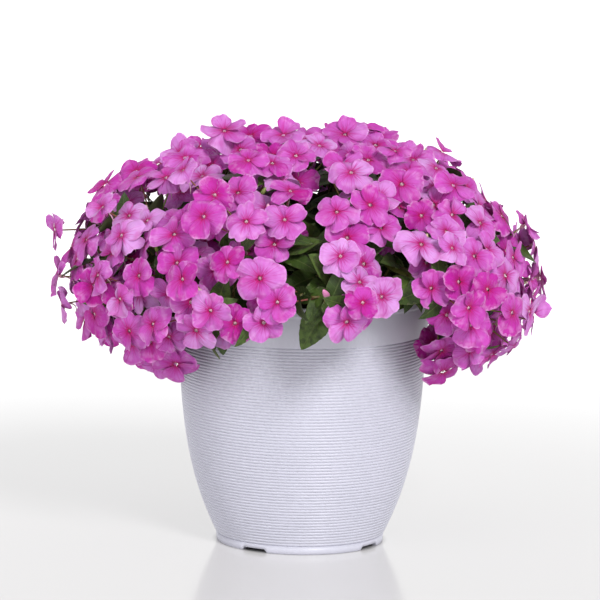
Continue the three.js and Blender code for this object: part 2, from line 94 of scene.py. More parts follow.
def circle(count):
    """Even angles, once round."""
    return np.linspace(0, 2 * math.pi, count, endpoint=False)


def axes_of(axis, above):
    """Three axes at right angles: the first is given, and the third is as near above as it can be."""
    across = unit(np.cross(above, axis))
    return np.array([axis, across, np.cross(axis, across)])


# ---- Reading the CAD solids ----


def facets(node):
    """The distinct points of a CAD node, and its triangles as their indices."""
    mesh = node.data
    corners = np.array([v.co for v in mesh.vertices]).round(6)
    points, where = np.unique(corners, axis=0, return_inverse=True)
    faces = np.array([p.vertices for p in mesh.polygons])
    return points, where.reshape(-1)[faces]


def rings_of(faces):
    """For each point that is whole all round, its neighbours in order, anticlockwise from outside."""
    following = defaultdict(dict)
    for a, b, c in faces:
        following[a][b] = c
        following[b][c] = a
        following[c][a] = b
    rings = {}
    for point, steps in following.items():
        ring = [min(steps)]
        while steps.get(ring[-1], ring[0]) != ring[0]:
            ring.append(steps[ring[-1]])
        if len(ring) == len(steps):
            rings[point] = ring
    return rings


def read_blooms(points, rings):
    """Each bloom of a bunch. Its top petal is the smallest, and comes first."""
    blooms = []
    for throat in sorted(rings):
        if len(rings[throat]) != RIM_POINTS:
            continue
        rim = points[rings[throat]] - points[throat]
        reach = np.linalg.norm(rim, axis=1)
        triples = reach + np.roll(reach, -1) + np.roll(reach, -2)
        rim = np.roll(rim, -int(np.argmin(triples)), axis=0)
        facing = unit(np.cross(rim, np.roll(rim, -1, axis=0)).sum(axis=0))
        lobes = (rim @ facing - THROAT_DEPTH).reshape(PETALS, 3)[:, :2]
        flat = rim - np.outer(rim @ facing, facing)
        sizes = np.linalg.norm(flat, axis=1).reshape(PETALS, 3)[:, :2].mean(axis=1)
        centre = points[throat] + THROAT_DEPTH * facing
        blooms.append(Bloom(centre, facing, unit(flat[0] + flat[1]), sizes, lobes))
    return blooms


def read_tips(points, faces):
    """Where each branch of a plant ends, and which way: the triangles that close their tips."""
    section = BRANCH_RADIUS * math.sqrt(3)
    tips = []
    for corners in points[faces]:
        edges = np.linalg.norm(corners - np.roll(corners, 1, axis=0), axis=1)
        if np.all(abs(edges - section) < CLOSE):
            axis = unit(np.cross(corners[1] - corners[0], corners[2] - corners[0]))
            tips.append((corners.mean(axis=0), axis))
    return tips


def bezier(start, departure, arrival, end, steps=48):
    t = np.linspace(0, 1, steps + 1)[:, None]
    return (
        (1 - t) ** 3 * start
        + 3 * t * (1 - t) ** 2 * departure
        + 3 * t * t * (1 - t) * arrival
        + t**3 * end
    )


def along(path, shares):
    """The points at some shares of a path's length."""
    steps = np.linalg.norm(np.diff(path, axis=0), axis=1)
    length = np.concatenate([[0], np.cumsum(steps)])
    places = np.array(shares) * length[-1]
    return np.stack([np.interp(places, length, path[:, k]) for k in range(3)], axis=1)


def branch_route(crown, tip, axis, lift):
    """The route of a branch, as the CAD source draws it."""
    hanging = axis[2] < 0
    arch = BRANCH_ARCHES[1] if hanging else BRANCH_ARCHES[0]
    start = crown + BRANCH_ROOTED * UP
    departure = start + DEPARTURE["out"] * (tip - start) * [1, 1, 0]
    departure[2] += lift + (arch if hanging else DEPARTURE["up"] * (tip[2] - start[2]))
    return bezier(start, departure, tip - arch * axis, tip)


def crowns():
    """Where the plants stand in the soil: one in the middle and a ring round it."""
    azimuths = np.radians(360 / RING_PLANTS * (np.arange(RING_PLANTS) + 0.5))
    ring = [CROWN_RING * np.array([math.sin(a), -math.cos(a), 0]) for a in azimuths]
    return [spot + SOIL_LEVEL * UP for spot in [np.zeros(3), *ring]]


def read_branches(points, faces):
    """The crown of a plant, and the routes of its branches, each with the lift that its inner
    sections show."""
    foot = points[abs(points[:, 2] - SOIL_LEVEL + TRUNK["root"]) < CLOSE]
    reach = TRUNK["radius"] + CLOSE
    crown = max(crowns(), key=lambda spot: (np.linalg.norm((foot - spot)[:, :2], axis=1) < reach).sum())

    def misfit(route):
        sections = along(route, [1 / 3, 2 / 3])
        away = np.linalg.norm(points[None] - sections[:, None], axis=2)
        return np.sort(abs(away - BRANCH_RADIUS), axis=1)[:, :3].sum()

    branches = []
    for tip, axis in read_tips(points, faces):
        routes = [branch_route(crown, tip, axis, lift) for lift in BRANCH_LIFTS]
        branches.append({"tip": tip, "axis": axis, "route": min(routes, key=misfit)})
    return crown, branches


def read_leaves(points, rings):
    """Each leaf of a plant, found by its neck and the points round the start of its midrib."""
    leaves = []
    for rib in sorted(rings):
        ring = rings[rib]
        if len(ring) != RIB_NEIGHBOURS:
            continue
        edges = np.linalg.norm(points[ring] - points[np.roll(ring, -1)], axis=1)
        first = int(np.argmin(edges))
        if abs(edges[first] - NECK_WIDTH) > CLOSE:
            continue
        neck_a, neck_b, _, right, rib2, left, left1 = np.roll(ring, -first)
        tip = points[[i for i in rings[rib2] if i not in (rib, left, right)][0]]
        a, b = points[neck_a], points[neck_b]
        slants = abs(np.linalg.norm(points - a, axis=1) - NECK_SLANT)
        slants += abs(np.linalg.norm(points - b, axis=1) - NECK_SLANT)
        middle = (a + b) / 2
        across = unit(a - b)
        above = unit(middle - points[np.argmin(slants)])
        forward = np.cross(across, above)
        length = (tip - middle) @ forward
        if not LEAF_LENGTHS[0] < length < LEAF_LENGTHS[1]:
            continue
        droop = -((tip - middle) @ above + NECK_RISE) / length
        edge = points[left1] - middle
        share = (edge @ forward) / length
        fold = (edge @ above + NECK_RISE + droop * length * share**2) / (edge @ across)
        base = middle - NECK_RISE * above
        axes = np.array([forward, across, above])
        leaves.append(Leaf(base - PETIOLE_LENGTH * forward, base, axes, length, droop, fold))
    return leaves


# ---- Building pieces ----

SHARP_EDGE = math.radians(100)  # edges that turn further, as those of petals do, are shaded sharp
SKIN, CORE, BACK = 0, 1, 2  # places in a piece's list of materials; an anther, bud or stem is a core
STEEP = 0.9  # share of a direction that is upwards


def add_object(name, data):
    thing = bpy.data.objects.new(name, data)
    bpy.context.scene.collection.objects.link(thing)
    return thing


class Clay:
    """The points, faces and values of a piece while it grows."""

    def __init__(self):
        self.points, self.faces, self.kinds, self.places, self.tints = [], [], [], [], []
        self.count = 0

    def add(self, points, faces, kind=SKIN, places=None, tint=0.5):
        """kind is the place of the faces' material in the piece's list, one number for all of them or
        one a face. Places are vectors, one a point."""
        self.points.append(points)
        self.faces.extend([[int(i) + self.count for i in face] for face in faces])
        self.kinds.extend(np.broadcast_to(kind, len(faces)).tolist())
        self.places.append(np.zeros((len(points), 3)) if places is None else places)
        self.tints.append(np.full(len(points), tint))
        self.count += len(points)

    def piece(self, name, materials, slot, nodes=()):
        mesh = bpy.data.meshes.new(name)
        mesh.from_pydata(np.concatenate(self.points).tolist(), [], self.faces)
        for material in materials:
            mesh.materials.append(material)
        mesh.polygons.foreach_set("material_index", self.kinds)
        mesh.polygons.foreach_set("use_smooth", [True] * len(self.faces))
        places = mesh.attributes.new("place", "FLOAT_VECTOR", "POINT")
        places.data.foreach_set("vector", np.concatenate(self.places).astype(np.float32).ravel())
        tints = mesh.attributes.new("tint", "FLOAT", "POINT")
        tints.data.foreach_set("value", np.concatenate(self.tints).astype(np.float32))
        mesh.set_sharp_from_angle(angle=SHARP_EDGE)
        mesh.update()
        piece = add_object(name, mesh)
        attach(piece, "root")
        if nodes:
            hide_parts(*nodes)


def grid(rows, columns):
    """Indices of points that are listed row by row."""
    return np.arange(rows * columns).reshape(rows, columns)


def faces_between(index):
    """Four-sided faces between neighbouring points of a grid of their indices."""
    low, high = index[:-1], index[1:]
    return np.stack([low[:, :-1], low[:, 1:], high[:, 1:], high[:, :-1]], axis=-1).reshape(-1, 4)


def ring_faces(index):
    """The faces of a grid whose last column is joined to its first."""
    return faces_between(np.concatenate([index, index[:, :1]], axis=1)).tolist()


def rod_faces(rows, sides):
    """The faces of a closed rod: those between its rings of points, and a cap at either end."""
    index = grid(rows, sides)
    return [*ring_faces(index), index[0, ::-1].tolist(), index[-1].tolist()]


def thin_body(top, places, thickness):
    """A closed body under a grid of points, which thins to nothing at the border, with the place of
    each point and the kind of each face."""
    rows, columns = top.shape[:2]
    above = grid(rows, columns)
    below = above.copy()
    below[1:-1, 1:-1] = above.size + grid(rows - 2, columns - 2)
    inner = top[1:-1, 1:-1] - [0, 0, thickness]
    points = np.concatenate([top.reshape(-1, 3), inner.reshape(-1, 3)])
    all_places = np.concatenate([places.reshape(-1, 3), places[1:-1, 1:-1].reshape(-1, 3)])
    faces = np.concatenate([faces_between(above)[:, ::-1], faces_between(below)])
    return points, all_places, faces, np.repeat([SKIN, BACK], len(faces) // 2)


def add_tube(clay, path, radii, sides, kind=SKIN, tint=0.5):
    """A closed round rod along a path, with one radius or one for each of its points."""
    radii = np.broadcast_to(radii, len(path))
    tangents = np.gradient(path, axis=0)
    side = np.cross(tangents[0], UP if abs(unit(tangents[0])[2]) < STEEP else [1.0, 0, 0])
    turns = circle(sides)
    rings = []
    for point, tangent, radius in zip(path, tangents, radii):
        tangent = unit(tangent)
        side = unit(side - (side @ tangent) * tangent)
        other = np.cross(tangent, side)
        rings.append(point + radius * (np.outer(np.cos(turns), side) + np.outer(np.sin(turns), other)))
    shares = np.repeat(np.linspace(0, 1, len(path)), sides)
    places = np.column_stack([shares] * 3)
    clay.add(np.concatenate(rings), rod_faces(len(path), sides), kind, places, tint)


# ---- Blooms ----

OPEN_BLOOM = {"petal": (16, 5), "stalk": 7, "sides": 5, "spur": 5}  # cells of its parts
SHADED_BLOOM = {"petal": (10, 3), "stalk": 4, "sides": 4, "spur": 0}
PETAL_ANGLE = 72  # degrees from each petal to the next
PETAL_OPENING = 0.45  # radians of the outline at the claw that the petal leaves out
CLAW = (0.06, 0.08)  # half width and distance from the middle, over the petal's size
PETAL_MIDDLE = 0.55
PETAL_REACH = 0.47  # from its middle outwards
PETAL_WIDTHS = (0.45, 0.54)  # half widths
WIDTH_SHAKE = (0.9, 1.08)
TOP_WIDTH = 1.06  # of the top petal beside the others
PETAL_GROWTH = (1.02, 1.13)  # over the CAD petal's size
PETAL_SWEEP = 0.05
ROW_CROWDING = 0.85  # below 1, rows of points lie closer towards the outline
SCALLOPS = ((2, 0.02), (3, 0.025), (5, 0.022))  # waves round the outline and their share of it
PETAL_SPREAD = math.radians(36)
PIT_DEPTH = 1.7 * MM
PIT_WIDTH = 2.3 * MM
VALLEY_DROP = 1.3 * MM
VALLEY_END = 1.3  # over the petal's spread
FOLD = {"depth": 0.5 * MM, "width": 1.3 * MM, "end": 1.3}  # along the middle
PETAL_THICKNESS = 0.3 * MM
OVERLAP_LIFT = 1.6 * MM
OVERLAP_RISE = (0.08, 0.4)  # over the petal's size
NOTCH, TOP_NOTCH = (0.02, 0.12), (0.06, 0.16)
NOTCH_SPANS = (0.25, 0.5)  # radians of the outline
TINT_DRAW = 1.6  # above 1, middling tints are commoner
TINT_SHIFT = 0.12
OPENNESS = (-0.16, 0.12)  # radians, of all petals of a bloom
PETAL_TILT = 0.13  # radians, one standard deviation
PETAL_TWIST = 0.14
REFLEX = (-1.1, 0.5)  # of the outer half, over the petal's size
CURL = (-1.1, 0.8)  # of both sides
RUFFLE = (0.4 * MM, 1.6 * MM)
RUFFLE_WAVES = (4.5, 9)
FINE_RUFFLE = 0.4  # beside the coarse one


def petal(size, width, notch, tilt, lobes, lifts, cells, rng):
    """One petal: the grid of its upper side and the place of each point on it. X is across, Y
    outwards and Z towards the viewer."""
    columns, rows = cells[0] + 1, cells[1] + 1
    turn = np.linspace(PETAL_OPENING, 2 * math.pi - PETAL_OPENING, columns)
    phases = rng.uniform(0, 2 * math.pi, 5)
    swings = [part * np.sin(waves * turn + phase) for (waves, part), phase in zip(SCALLOPS, phases)]
    scallop = 1 + sum(swings)
    dent = notch * np.exp(-(((turn - math.pi) / rng.uniform(*NOTCH_SPANS)) ** 2))
    out_x = width * np.sin(turn) * scallop
    out_y = PETAL_MIDDLE - PETAL_REACH * np.cos(turn) * scallop - dent
    claw_x = CLAW[0] * np.linspace(1, -1, columns)
    share = np.linspace(0, 1, rows)[:, None] ** ROW_CROWDING * np.ones(columns)
    y = CLAW[1] + (out_y - CLAW[1]) * share
    x = claw_x + (out_x - claw_x) * share + rng.normal(0, PETAL_SWEEP) * y**2
    reach = np.hypot(x, y)
    side = x / width
    angle = np.arctan2(x, y) / PETAL_SPREAD
    z = -PIT_DEPTH * np.exp(-((reach * size / PIT_WIDTH) ** 2))
    z += ((lobes[0] + lobes[1]) / 2 + (lobes[0] - lobes[1]) / 2 * side) * reach**2
    z -= VALLEY_DROP * abs(angle).clip(0, VALLEY_END) ** 2 * reach**2
    z += (tilt + rng.normal(0, PETAL_TILT)) * size * reach
    z += rng.normal(0, PETAL_TWIST) * size * side * reach
    z += rng.uniform(*REFLEX) * size * (reach - 0.5).clip(0) ** 2
    z += rng.uniform(*CURL) * size * x**2
    z += rng.uniform(*RUFFLE) * reach**3 * np.sin(RUFFLE_WAVES[0] * angle + phases[3])
    z += FINE_RUFFLE * rng.uniform(*RUFFLE) * reach**2 * np.sin(RUFFLE_WAVES[1] * angle + phases[4])
    z -= FOLD["depth"] * np.exp(-((x * size / FOLD["width"]) ** 2)) * reach * (FOLD["end"] - reach)
    z += np.where(side > 0, *lifts) * side**2 * smooth(reach, *OVERLAP_RISE)
    return np.stack([x * size, y * size, z], axis=-1), np.stack([angle, reach, share], axis=-1)


def add_petals(clay, bloom, cells, rng):
    """The petals of a bloom. Of each two neighbours, either one lies on top."""
    right = np.cross(bloom.up, bloom.facing)
    tint = rng.beta(TINT_DRAW, TINT_DRAW)
    width = rng.uniform(*PETAL_WIDTHS)
    tilt = rng.uniform(*OPENNESS)
    over = rng.choice([-1, 1], PETALS) * OVERLAP_LIFT
    for k in range(PETALS):
        angle = math.radians(PETAL_ANGLE * k)
        outwards = math.cos(angle) * bloom.up - math.sin(angle) * right
        across = math.cos(angle) * right + math.sin(angle) * bloom.up
        notch = rng.uniform(*(NOTCH if k else TOP_NOTCH))
        top, places = petal(
            bloom.sizes[k] * rng.uniform(*PETAL_GROWTH),
            width * rng.uniform(*WIDTH_SHAKE) * (1 if k else TOP_WIDTH),
            notch, tilt, bloom.lobes[k], (-over[k - 1], over[k]), cells, rng,
        )
        points, places, faces, kinds = thin_body(top, places, PETAL_THICKNESS)
        points = points @ np.array([across, outwards, bloom.facing]) + bloom.centre
        clay.add(points, faces, kinds, places, np.clip(tint + rng.normal(0, TINT_SHIFT), 0, 1))


TAPER = 0.35  # how much an egg narrows as it lengthens to a point


def add_ball(clay, centre, axes, radii, kind=SKIN, tint=0.5, rings=6, sides=8, point=0.0):
    """An egg along its first axis, drawn to a point there as `point` grows."""
    polar = np.linspace(math.pi, 0, rings + 1)
    turns = circle(sides)
    ahead = np.cos(polar).clip(0)
    heights = np.cos(polar) * radii[0] * (1 + point * ahead)
    girths = np.sin(polar) * (1 - TAPER * point * ahead)
    rows = [
        np.stack([np.full(sides, h), g * radii[1] * np.cos(turns), g * radii[2] * np.sin(turns)], axis=1)
        for h, g in zip(heights[1:-1], girths[1:-1])
    ]
    poles = np.array([[heights[0], 0, 0], [heights[-1], 0, 0]])
    points = np.concatenate([*rows, poles])
    last = len(points) - 1
    faces = ring_faces(grid(rings - 1, sides))
    for i in range(sides):
        j = (i + 1) % sides
        faces.append([j, i, last - 1])
        faces.append([last - 1 - sides + i, last - 1 - sides + j, last])
    share = (points[:, 0] - heights[0]) / (heights[-1] - heights[0])
    clay.add(points @ axes + centre, faces, kind, np.column_stack([share] * 3), tint)


HEART_DEPTH = 1.5 * MM
HEART_RISE = 0.9 * MM  # of the anther cap above the middle, and of the pit below it
HEART_SLANT = 0.6  # upwards, beside the bloom's facing
HEART_TINTS = (0.3, 1)
CAP_RADII = np.array([0.95, 0.5, 0.5]) * MM
LOBE_RADII = np.array([0.8, 0.35, 0.35]) * MM
LOBE_PLACE = (1.15, -0.1)  # millimetres to either side and up
THROAT_SHADE_RADII = np.array([0.8, 0.45, 0.4]) * MM


def add_heart(clay, bloom, rng, lobes):
    """The small pale anther cap in the throat, over a dark ball of painted shade, and where asked its
    lobes.
    """
    facing, up = bloom.facing, bloom.up
    right = np.cross(up, facing)
    axes = np.array([unit(facing + HEART_SLANT * up), right, unit(up - HEART_SLANT * facing)])
    seat = bloom.centre - HEART_DEPTH * facing
    tint = rng.uniform(*HEART_TINTS)
    add_ball(clay, seat + HEART_RISE * up, axes, CAP_RADII, CORE, tint, rings=4, sides=6)
    for way in (-1, 1) if lobes else ():
        lobe = seat + (way * LOBE_PLACE[0] * right + LOBE_PLACE[1] * up) * MM
        add_ball(clay, lobe, axes, LOBE_RADII, CORE, tint, rings=3, sides=5)
    # painted shade: a nearly black ball deep in the throat, under the anther cap
    add_ball(clay, seat - HEART_RISE * up, axes, THROAT_SHADE_RADII, CORE, 0.0, rings=3, sides=5)


STALK_RADII = (1.0 * MM, 0.75 * MM)
STALK_ARCHES = (0.35, 0.3)  # at the knob and at the bloom, over the way between them
STALK_TINTS = (0, 0.75)
CALYX_SEAT = 4.2 * MM
CALYX_RADII = np.array([3.4, 2.2, 2.2]) * MM
CALYX_TINT = 0.9
SPUR_LENGTH = 19 * MM
SPUR_RADII = (0.95 * MM, 0.3 * MM)
SPUR_SWAY = 0.5
SPUR_START = 0.45
SPUR_BEND = ((0.75, 0.25), (0.62, 0.6))  # back and down, over its length, of its bend and its end


def add_stalk(clay, bloom, root, cells, rng):
    """The calyx, the pedicel that runs down to the bunch's knob and the thin curved spur."""
    sides = cells["sides"]
    back, up = -bloom.facing, bloom.up
    calyx = bloom.centre + CALYX_SEAT * back
    right = np.cross(up, bloom.facing)
    add_ball(clay, calyx, np.array([bloom.facing, right, up]), CALYX_RADII, SKIN, CALYX_TINT, rings=5)
    foot = bloom.centre + CALYX_DEPTH * back
    reach = np.linalg.norm(root - foot)
    departure = root + STALK_ARCHES[0] * reach * unit(foot - root)
    path = bezier(root, departure, foot + STALK_ARCHES[1] * reach * back, calyx, cells["stalk"])
    add_tube(clay, path, np.linspace(*STALK_RADII, len(path)), sides, SKIN, rng.uniform(*STALK_TINTS))
    if not cells["spur"]:
        return
    sweep = unit(-UP + SPUR_SWAY * rng.uniform(-1, 1) * right)
    bend, end = (calyx + SPUR_LENGTH * (behind * back + down * sweep) for behind, down in SPUR_BEND)
    path = bezier(calyx, calyx + SPUR_START * SPUR_LENGTH * back, bend, end, cells["spur"])
    add_tube(clay, path, np.linspace(*SPUR_RADII, len(path)), sides, SKIN, 1.0)


BUD_SIZES = (0.75, 1.35)
BUD_RADII = np.array([4.2, 2.5, 2.1]) * MM
BUD_LIFT = 0.5
BUD_SWAY = 0.4
BUD_ABOVE = -np.array([0.3, 0.9, 0.1])
BUD_RIPENING = {"from": 0.7, "rate": 1.2, "shake": 0.25}  # with its size
BUD_STALK = {"radius": 0.65 * MM, "sides": 5, "steps": 8, "start": 0.4, "arch": 6 * MM, "tint": 0.3}
BUD_SEAT = 0.9  # of its length, where the stalk ends


def add_bud(clay, place, root, rng):
    """A closed bud on its own pedicel, greener when it is small."""
    axis = unit(unit(place - root) + BUD_LIFT * UP + rng.uniform(-BUD_SWAY, BUD_SWAY, 3))
    size = rng.uniform(*BUD_SIZES)
    radii = BUD_RADII * size
    shake = rng.uniform(-BUD_RIPENING["shake"], BUD_RIPENING["shake"])
    ripe = float(np.clip((size - BUD_RIPENING["from"]) * BUD_RIPENING["rate"] + shake, 0, 1))
    add_ball(clay, place, axes_of(axis, BUD_ABOVE), radii, CORE, ripe, rings=8, sides=9, point=0.5)
    foot = place - BUD_SEAT * radii[0] * axis
    departure, arrival = root + BUD_STALK["start"] * (foot - root), foot - BUD_STALK["arch"] * axis
    path = bezier(root, departure, arrival, foot, BUD_STALK["steps"])
    add_tube(clay, path, BUD_STALK["radius"], BUD_STALK["sides"], SKIN, BUD_STALK["tint"])


DISC_SPOTS = 10
DISC_ROOM = 1.6 * MM
EDGE_SIZE = 0.9
CLASH_REACH = 50 * MM


def disc_points(bloom):
    """The middle of a bloom and points on two rings round it."""
    right = np.cross(bloom.up, bloom.facing)
    turns = circle(DISC_SPOTS)
    ring = np.outer(np.cos(turns), bloom.up) + np.outer(np.sin(turns), right)
    size = EDGE_SIZE * np.mean(bloom.sizes)
    return bloom.centre + np.concatenate([[np.zeros(3)], 0.5 * size * ring, size * ring])


def pierces(bloom, other):
    """Whether a bloom's disc passes through another's."""
    away = disc_points(bloom) - other.centre
    heights = away @ other.facing
    flat = np.linalg.norm(away - np.outer(heights, other.facing), axis=1)
    heights = heights[flat < np.mean(other.sizes)]
    return len(heights) > 0 and heights.min() < DISC_ROOM and heights.max() > -DISC_ROOM


def distances(point, blooms):
    return np.linalg.norm(np.array([bloom.centre for bloom in blooms]) - point, axis=1)


def within(reach, point, blooms):
    """The blooms whose centres lie within reach of a point."""
    return [bloom for bloom, distance in zip(blooms, distances(point, blooms)) if distance < reach]


def clashes(bloom, others):
    near = within(CLASH_REACH, bloom.centre, others)
    return any(pierces(bloom, other) or pierces(other, bloom) for other in near)


UNDER_BLOOMS = 4  # wanted for each bunch
UNDER_TRIES = 30
UNDER_DEPTHS = (3 * MM, 17 * MM)
UNDER_SIZES = (18, 22)  # millimetres
UNDER_TOP = 0.88  # the top petal's size beside the others'
UNDER_SHIFT = 8  # millimetres, one standard deviation, from the middle of the gap
UNDER_SWAY = 0.25
UNDER_TURN = 0.35  # towards the light at the front
UNDER_REACH = 60 * MM  # between two blooms with one below their gap
UNDER_ROOM = 1.2  # from the knob, over the bloom's size
BUDS_PER_BUNCH = 1
BUD_TRIES = 60
BUD_SHIFT = 6  # millimetres
BUD_ROOM = 17 * MM
BUD_DEPTHS = (3 * MM, 12 * MM)


def gap_bloom(blooms, everyone, rng):
    """A bloom at a random place a little under the gap between one of these and any other."""
    one = blooms[rng.integers(len(blooms))]
    near = within(UNDER_REACH, one.centre, everyone)
    other = near[rng.integers(len(near))]
    outwards = unit(one.facing + other.facing)
    facing = unit(outwards + UNDER_TURN * FRONT + rng.normal(0, UNDER_SWAY, 3))
    middle = (one.centre + other.centre) / 2 + rng.normal(0, UNDER_SHIFT, 3) * MM
    size = rng.uniform(*UNDER_SIZES) * MM
    centre = middle - rng.uniform(*UNDER_DEPTHS) * outwards
    up = unit(one.up - (one.up @ facing) * facing)
    return Bloom(centre, facing, up, [UNDER_TOP * size] + [size] * 4, [(0, 0)] * PETALS)


def under_blooms(blooms, everyone, root, rng):
    """Further blooms of a bunch, in the shade under the widest gaps between the others."""
    found = []
    for _ in range(UNDER_BLOOMS):
        best, widest = None, 0
        for _ in range(UNDER_TRIES):
            bloom = gap_bloom(blooms, everyone, rng)
            others = everyone + found
            gap = min(distances(bloom.centre, others))
            rooted = np.linalg.norm(bloom.centre - root) > UNDER_ROOM * bloom.sizes[1]
            free = all(clear_of_pot(point) for point in disc_points(bloom)) and not clashes(bloom, others)
            if gap > widest and rooted and free:
                best, widest = bloom, gap
        if best:
            found.append(best)
    return found


def bud_places(blooms, everyone, rng):
    """Places for buds between the blooms of a bunch, a little under their faces."""
    found = []
    for _ in range(BUD_TRIES):
        if len(found) == BUDS_PER_BUNCH:
            break
        one, other = (blooms[i] for i in rng.integers(len(blooms), size=2))
        place = (one.centre + other.centre) / 2 + rng.normal(0, BUD_SHIFT, 3) * MM
        place -= rng.uniform(*BUD_DEPTHS) * one.facing
        if not within(BUD_ROOM, place, everyone):
            found.append(place)
    return found


# ---- Leaves and stems ----

LEAF_SWELL = 0.75  # below 1, the widest part is nearer the root
LEAF_FULLNESS = 0.75
LEAF_TIP = 0.015  # of the half width, also at the root
LEAF_TEETH = 13
TOOTH_DEPTH = 0.07
VEIN_PAIRS = 7
VEIN_SLANT = 0.16  # forwards, from the midrib to the edge
QUILT = 0.55 * MM  # between the veins
MIDRIB = {"depth": 0.5 * MM, "width": 1.2 * MM}
LEAF_BEND = 0.06  # sideways
EDGE_BACK = 0.1  # how far the edge lies back
FLATTER_EDGE = 0.35
EDGE_RIPPLES = (0.3, 1.1)  # millimetres
RIPPLE_WAVES = 9
LEAF_THICKNESS = 0.45 * MM
PETIOLE_RADII = (1.7 * MM, 1.15 * MM)
PETIOLE_START, PETIOLE_ARCH = 0.3, 6 * MM  # how far it runs straight at its root and at the leaf
PETIOLE_END = (2 * MM, -0.5 * MM)  # forwards and upwards from the leaf's base
PETIOLE_TINTS = (0, 0.6)


def blade(length, droop, fold, rng, rows=23, columns=9):
    """A leaf blade: the grid of its upper side and the place of each point on it. X is along, Y
    across and Z above."""
    s = np.linspace(0, 1, rows)[:, None]
    t = np.linspace(-1, 1, columns)[None]
    swell = np.sin(math.pi * s**LEAF_SWELL).clip(0) ** LEAF_FULLNESS
    half = LEAF_ASPECT * length * (LEAF_TIP + (1 - LEAF_TIP) * swell)
    teeth = TOOTH_DEPTH * (s * LEAF_TEETH % 1) * smooth(s, 0.05, 0.2)
    half = half * (1 - teeth * abs(t) ** 3)
    y = t * half
    bend = rng.uniform(-LEAF_BEND, LEAF_BEND) * length * s**2
    x = s * length - EDGE_BACK * half * abs(t)
    z = -droop * length * s**2 + fold * abs(y) * (1 - FLATTER_EDGE * abs(t))
    quilt = abs(np.sin(math.pi * VEIN_PAIRS * (s - VEIN_SLANT * abs(t))))
    z += QUILT * quilt * (1 - t**2) * smooth(abs(t), 0.02, 0.3) * smooth(1 - s, 0.02, 0.25)
    ripple = rng.uniform(*EDGE_RIPPLES) * MM * abs(t) ** 3
    z += ripple * np.sin(RIPPLE_WAVES * s + rng.uniform(0, 6) + 2 * np.sign(t))
    z -= MIDRIB["depth"] * np.exp(-((y / MIDRIB["width"]) ** 2))
    x, y, z, s, t = np.broadcast_arrays(x, y + bend, z, s, t)
    return np.stack([x, y, z], axis=-1), np.stack([s, t, 0 * s], axis=-1)


def add_leaf(clay, leaf, rng, sides=6, **cells):
    top, places = blade(leaf.length, leaf.droop, leaf.fold, rng, **cells)
    points, places, faces, kinds = thin_body(top, places, LEAF_THICKNESS)
    clay.add(points @ leaf.axes + leaf.base, faces, kinds, places, rng.uniform(0, 1))
    forward, _, above = leaf.axes
    departure = leaf.root + PETIOLE_START * (leaf.base - leaf.root)
    end = leaf.base + PETIOLE_END[0] * forward + PETIOLE_END[1] * above
    path = bezier(leaf.root, departure, end - PETIOLE_ARCH * forward, end, sides)
    add_tube(clay, path, np.linspace(*PETIOLE_RADII, len(path)), sides, CORE, rng.uniform(*PETIOLE_TINTS))


INNER_STEP = 5 * MM  # along a branch, between inner leaves
INNER_TRIES = 3
INNER_SHARES = (0.22, 1.0)
INNER_LATE = 0.75  # share of a branch past which leaves are smaller and steeper
INNER_PITCHES = ((0.1, 0.7), (0.5, 1.25))  # radians, before that share and past it
INNER_DROOPS = ((0.08, 0.4), (0.3, 0.7))
INNER_LENGTHS = ((34 * MM, 52 * MM), (22 * MM, 38 * MM))
INNER_FOLDS = (0.1, 0.35)
UPPER_LEAVES = 7  # wanted for each bunch
UPPER_TRIES = 150
UPPER_RISES = (0.4, 0.8)  # of the way from the bunch's root to between two of its blooms
UPPER_PITCHES = (-0.1, 0.6)
UPPER_LENGTHS = (24 * MM, 38 * MM)
UPPER_DROOPS = (0.1, 0.4)
UPPER_FOLDS = (0.1, 0.3)
UPPER_ROOM = 15 * MM
DOME = {"level": 260 * MM, "radius": 230 * MM, "rise": 144 * MM, "drop": 100 * MM}
INNER_DOME, UPPER_DOME = 0.98, 1.06  # shares of the dome of blooms that leaves keep within
POT_ROOM = (136 * MM, 262 * MM)  # radius and height that what is added keeps out of
BLOOM_ROOM = 13 * MM


def inside_dome(point, share):
    rise = DOME["rise"] if point[2] > DOME["level"] else DOME["drop"]
    reach = math.hypot(point[0], point[1]) / DOME["radius"]
    return math.hypot(reach, (point[2] - DOME["level"]) / rise) < share


def clear_of_pot(point):
    return math.hypot(point[0], point[1]) > POT_ROOM[0] or point[2] > POT_ROOM[1]


def inner_leaf(seat, tangent, around, late, rng):
    """A leaf on a branch, at a random pitch; late says that the branch is near its end."""
    side = unit(np.cross(tangent, [0.9, 0.3, 0.3]))
    outwards = math.cos(around) * side + math.sin(around) * np.cross(tangent, side)
    pitch = rng.uniform(*INNER_PITCHES[late])
    forward = unit(math.cos(pitch) * outwards + math.sin(pitch) * tangent)
    axes = axes_of(forward, 0.5 * tangent + 0.5 * UP)
    length = rng.uniform(*INNER_LENGTHS[late])
    droop = rng.uniform(*INNER_DROOPS[late])
    return Leaf(seat, seat + PETIOLE_LENGTH * forward, axes, length, droop, rng.uniform(*INNER_FOLDS))


def has_room(leaf, centres, dome):
    """Whether a leaf is inside a share of the dome and clear of the pot and of the blooms' centres."""
    forward, _, above = leaf.axes
    spots = [leaf.base + part * leaf.length * forward for part in (0.3, 0.7, 1.0)]
    spots[-1] = spots[-1] - leaf.droop * leaf.length * above
    near = min(np.linalg.norm(centres - spot, axis=1).min() for spot in spots)
    return near > BLOOM_ROOM and all(inside_dome(spot, dome) and clear_of_pot(spot) for spot in spots)


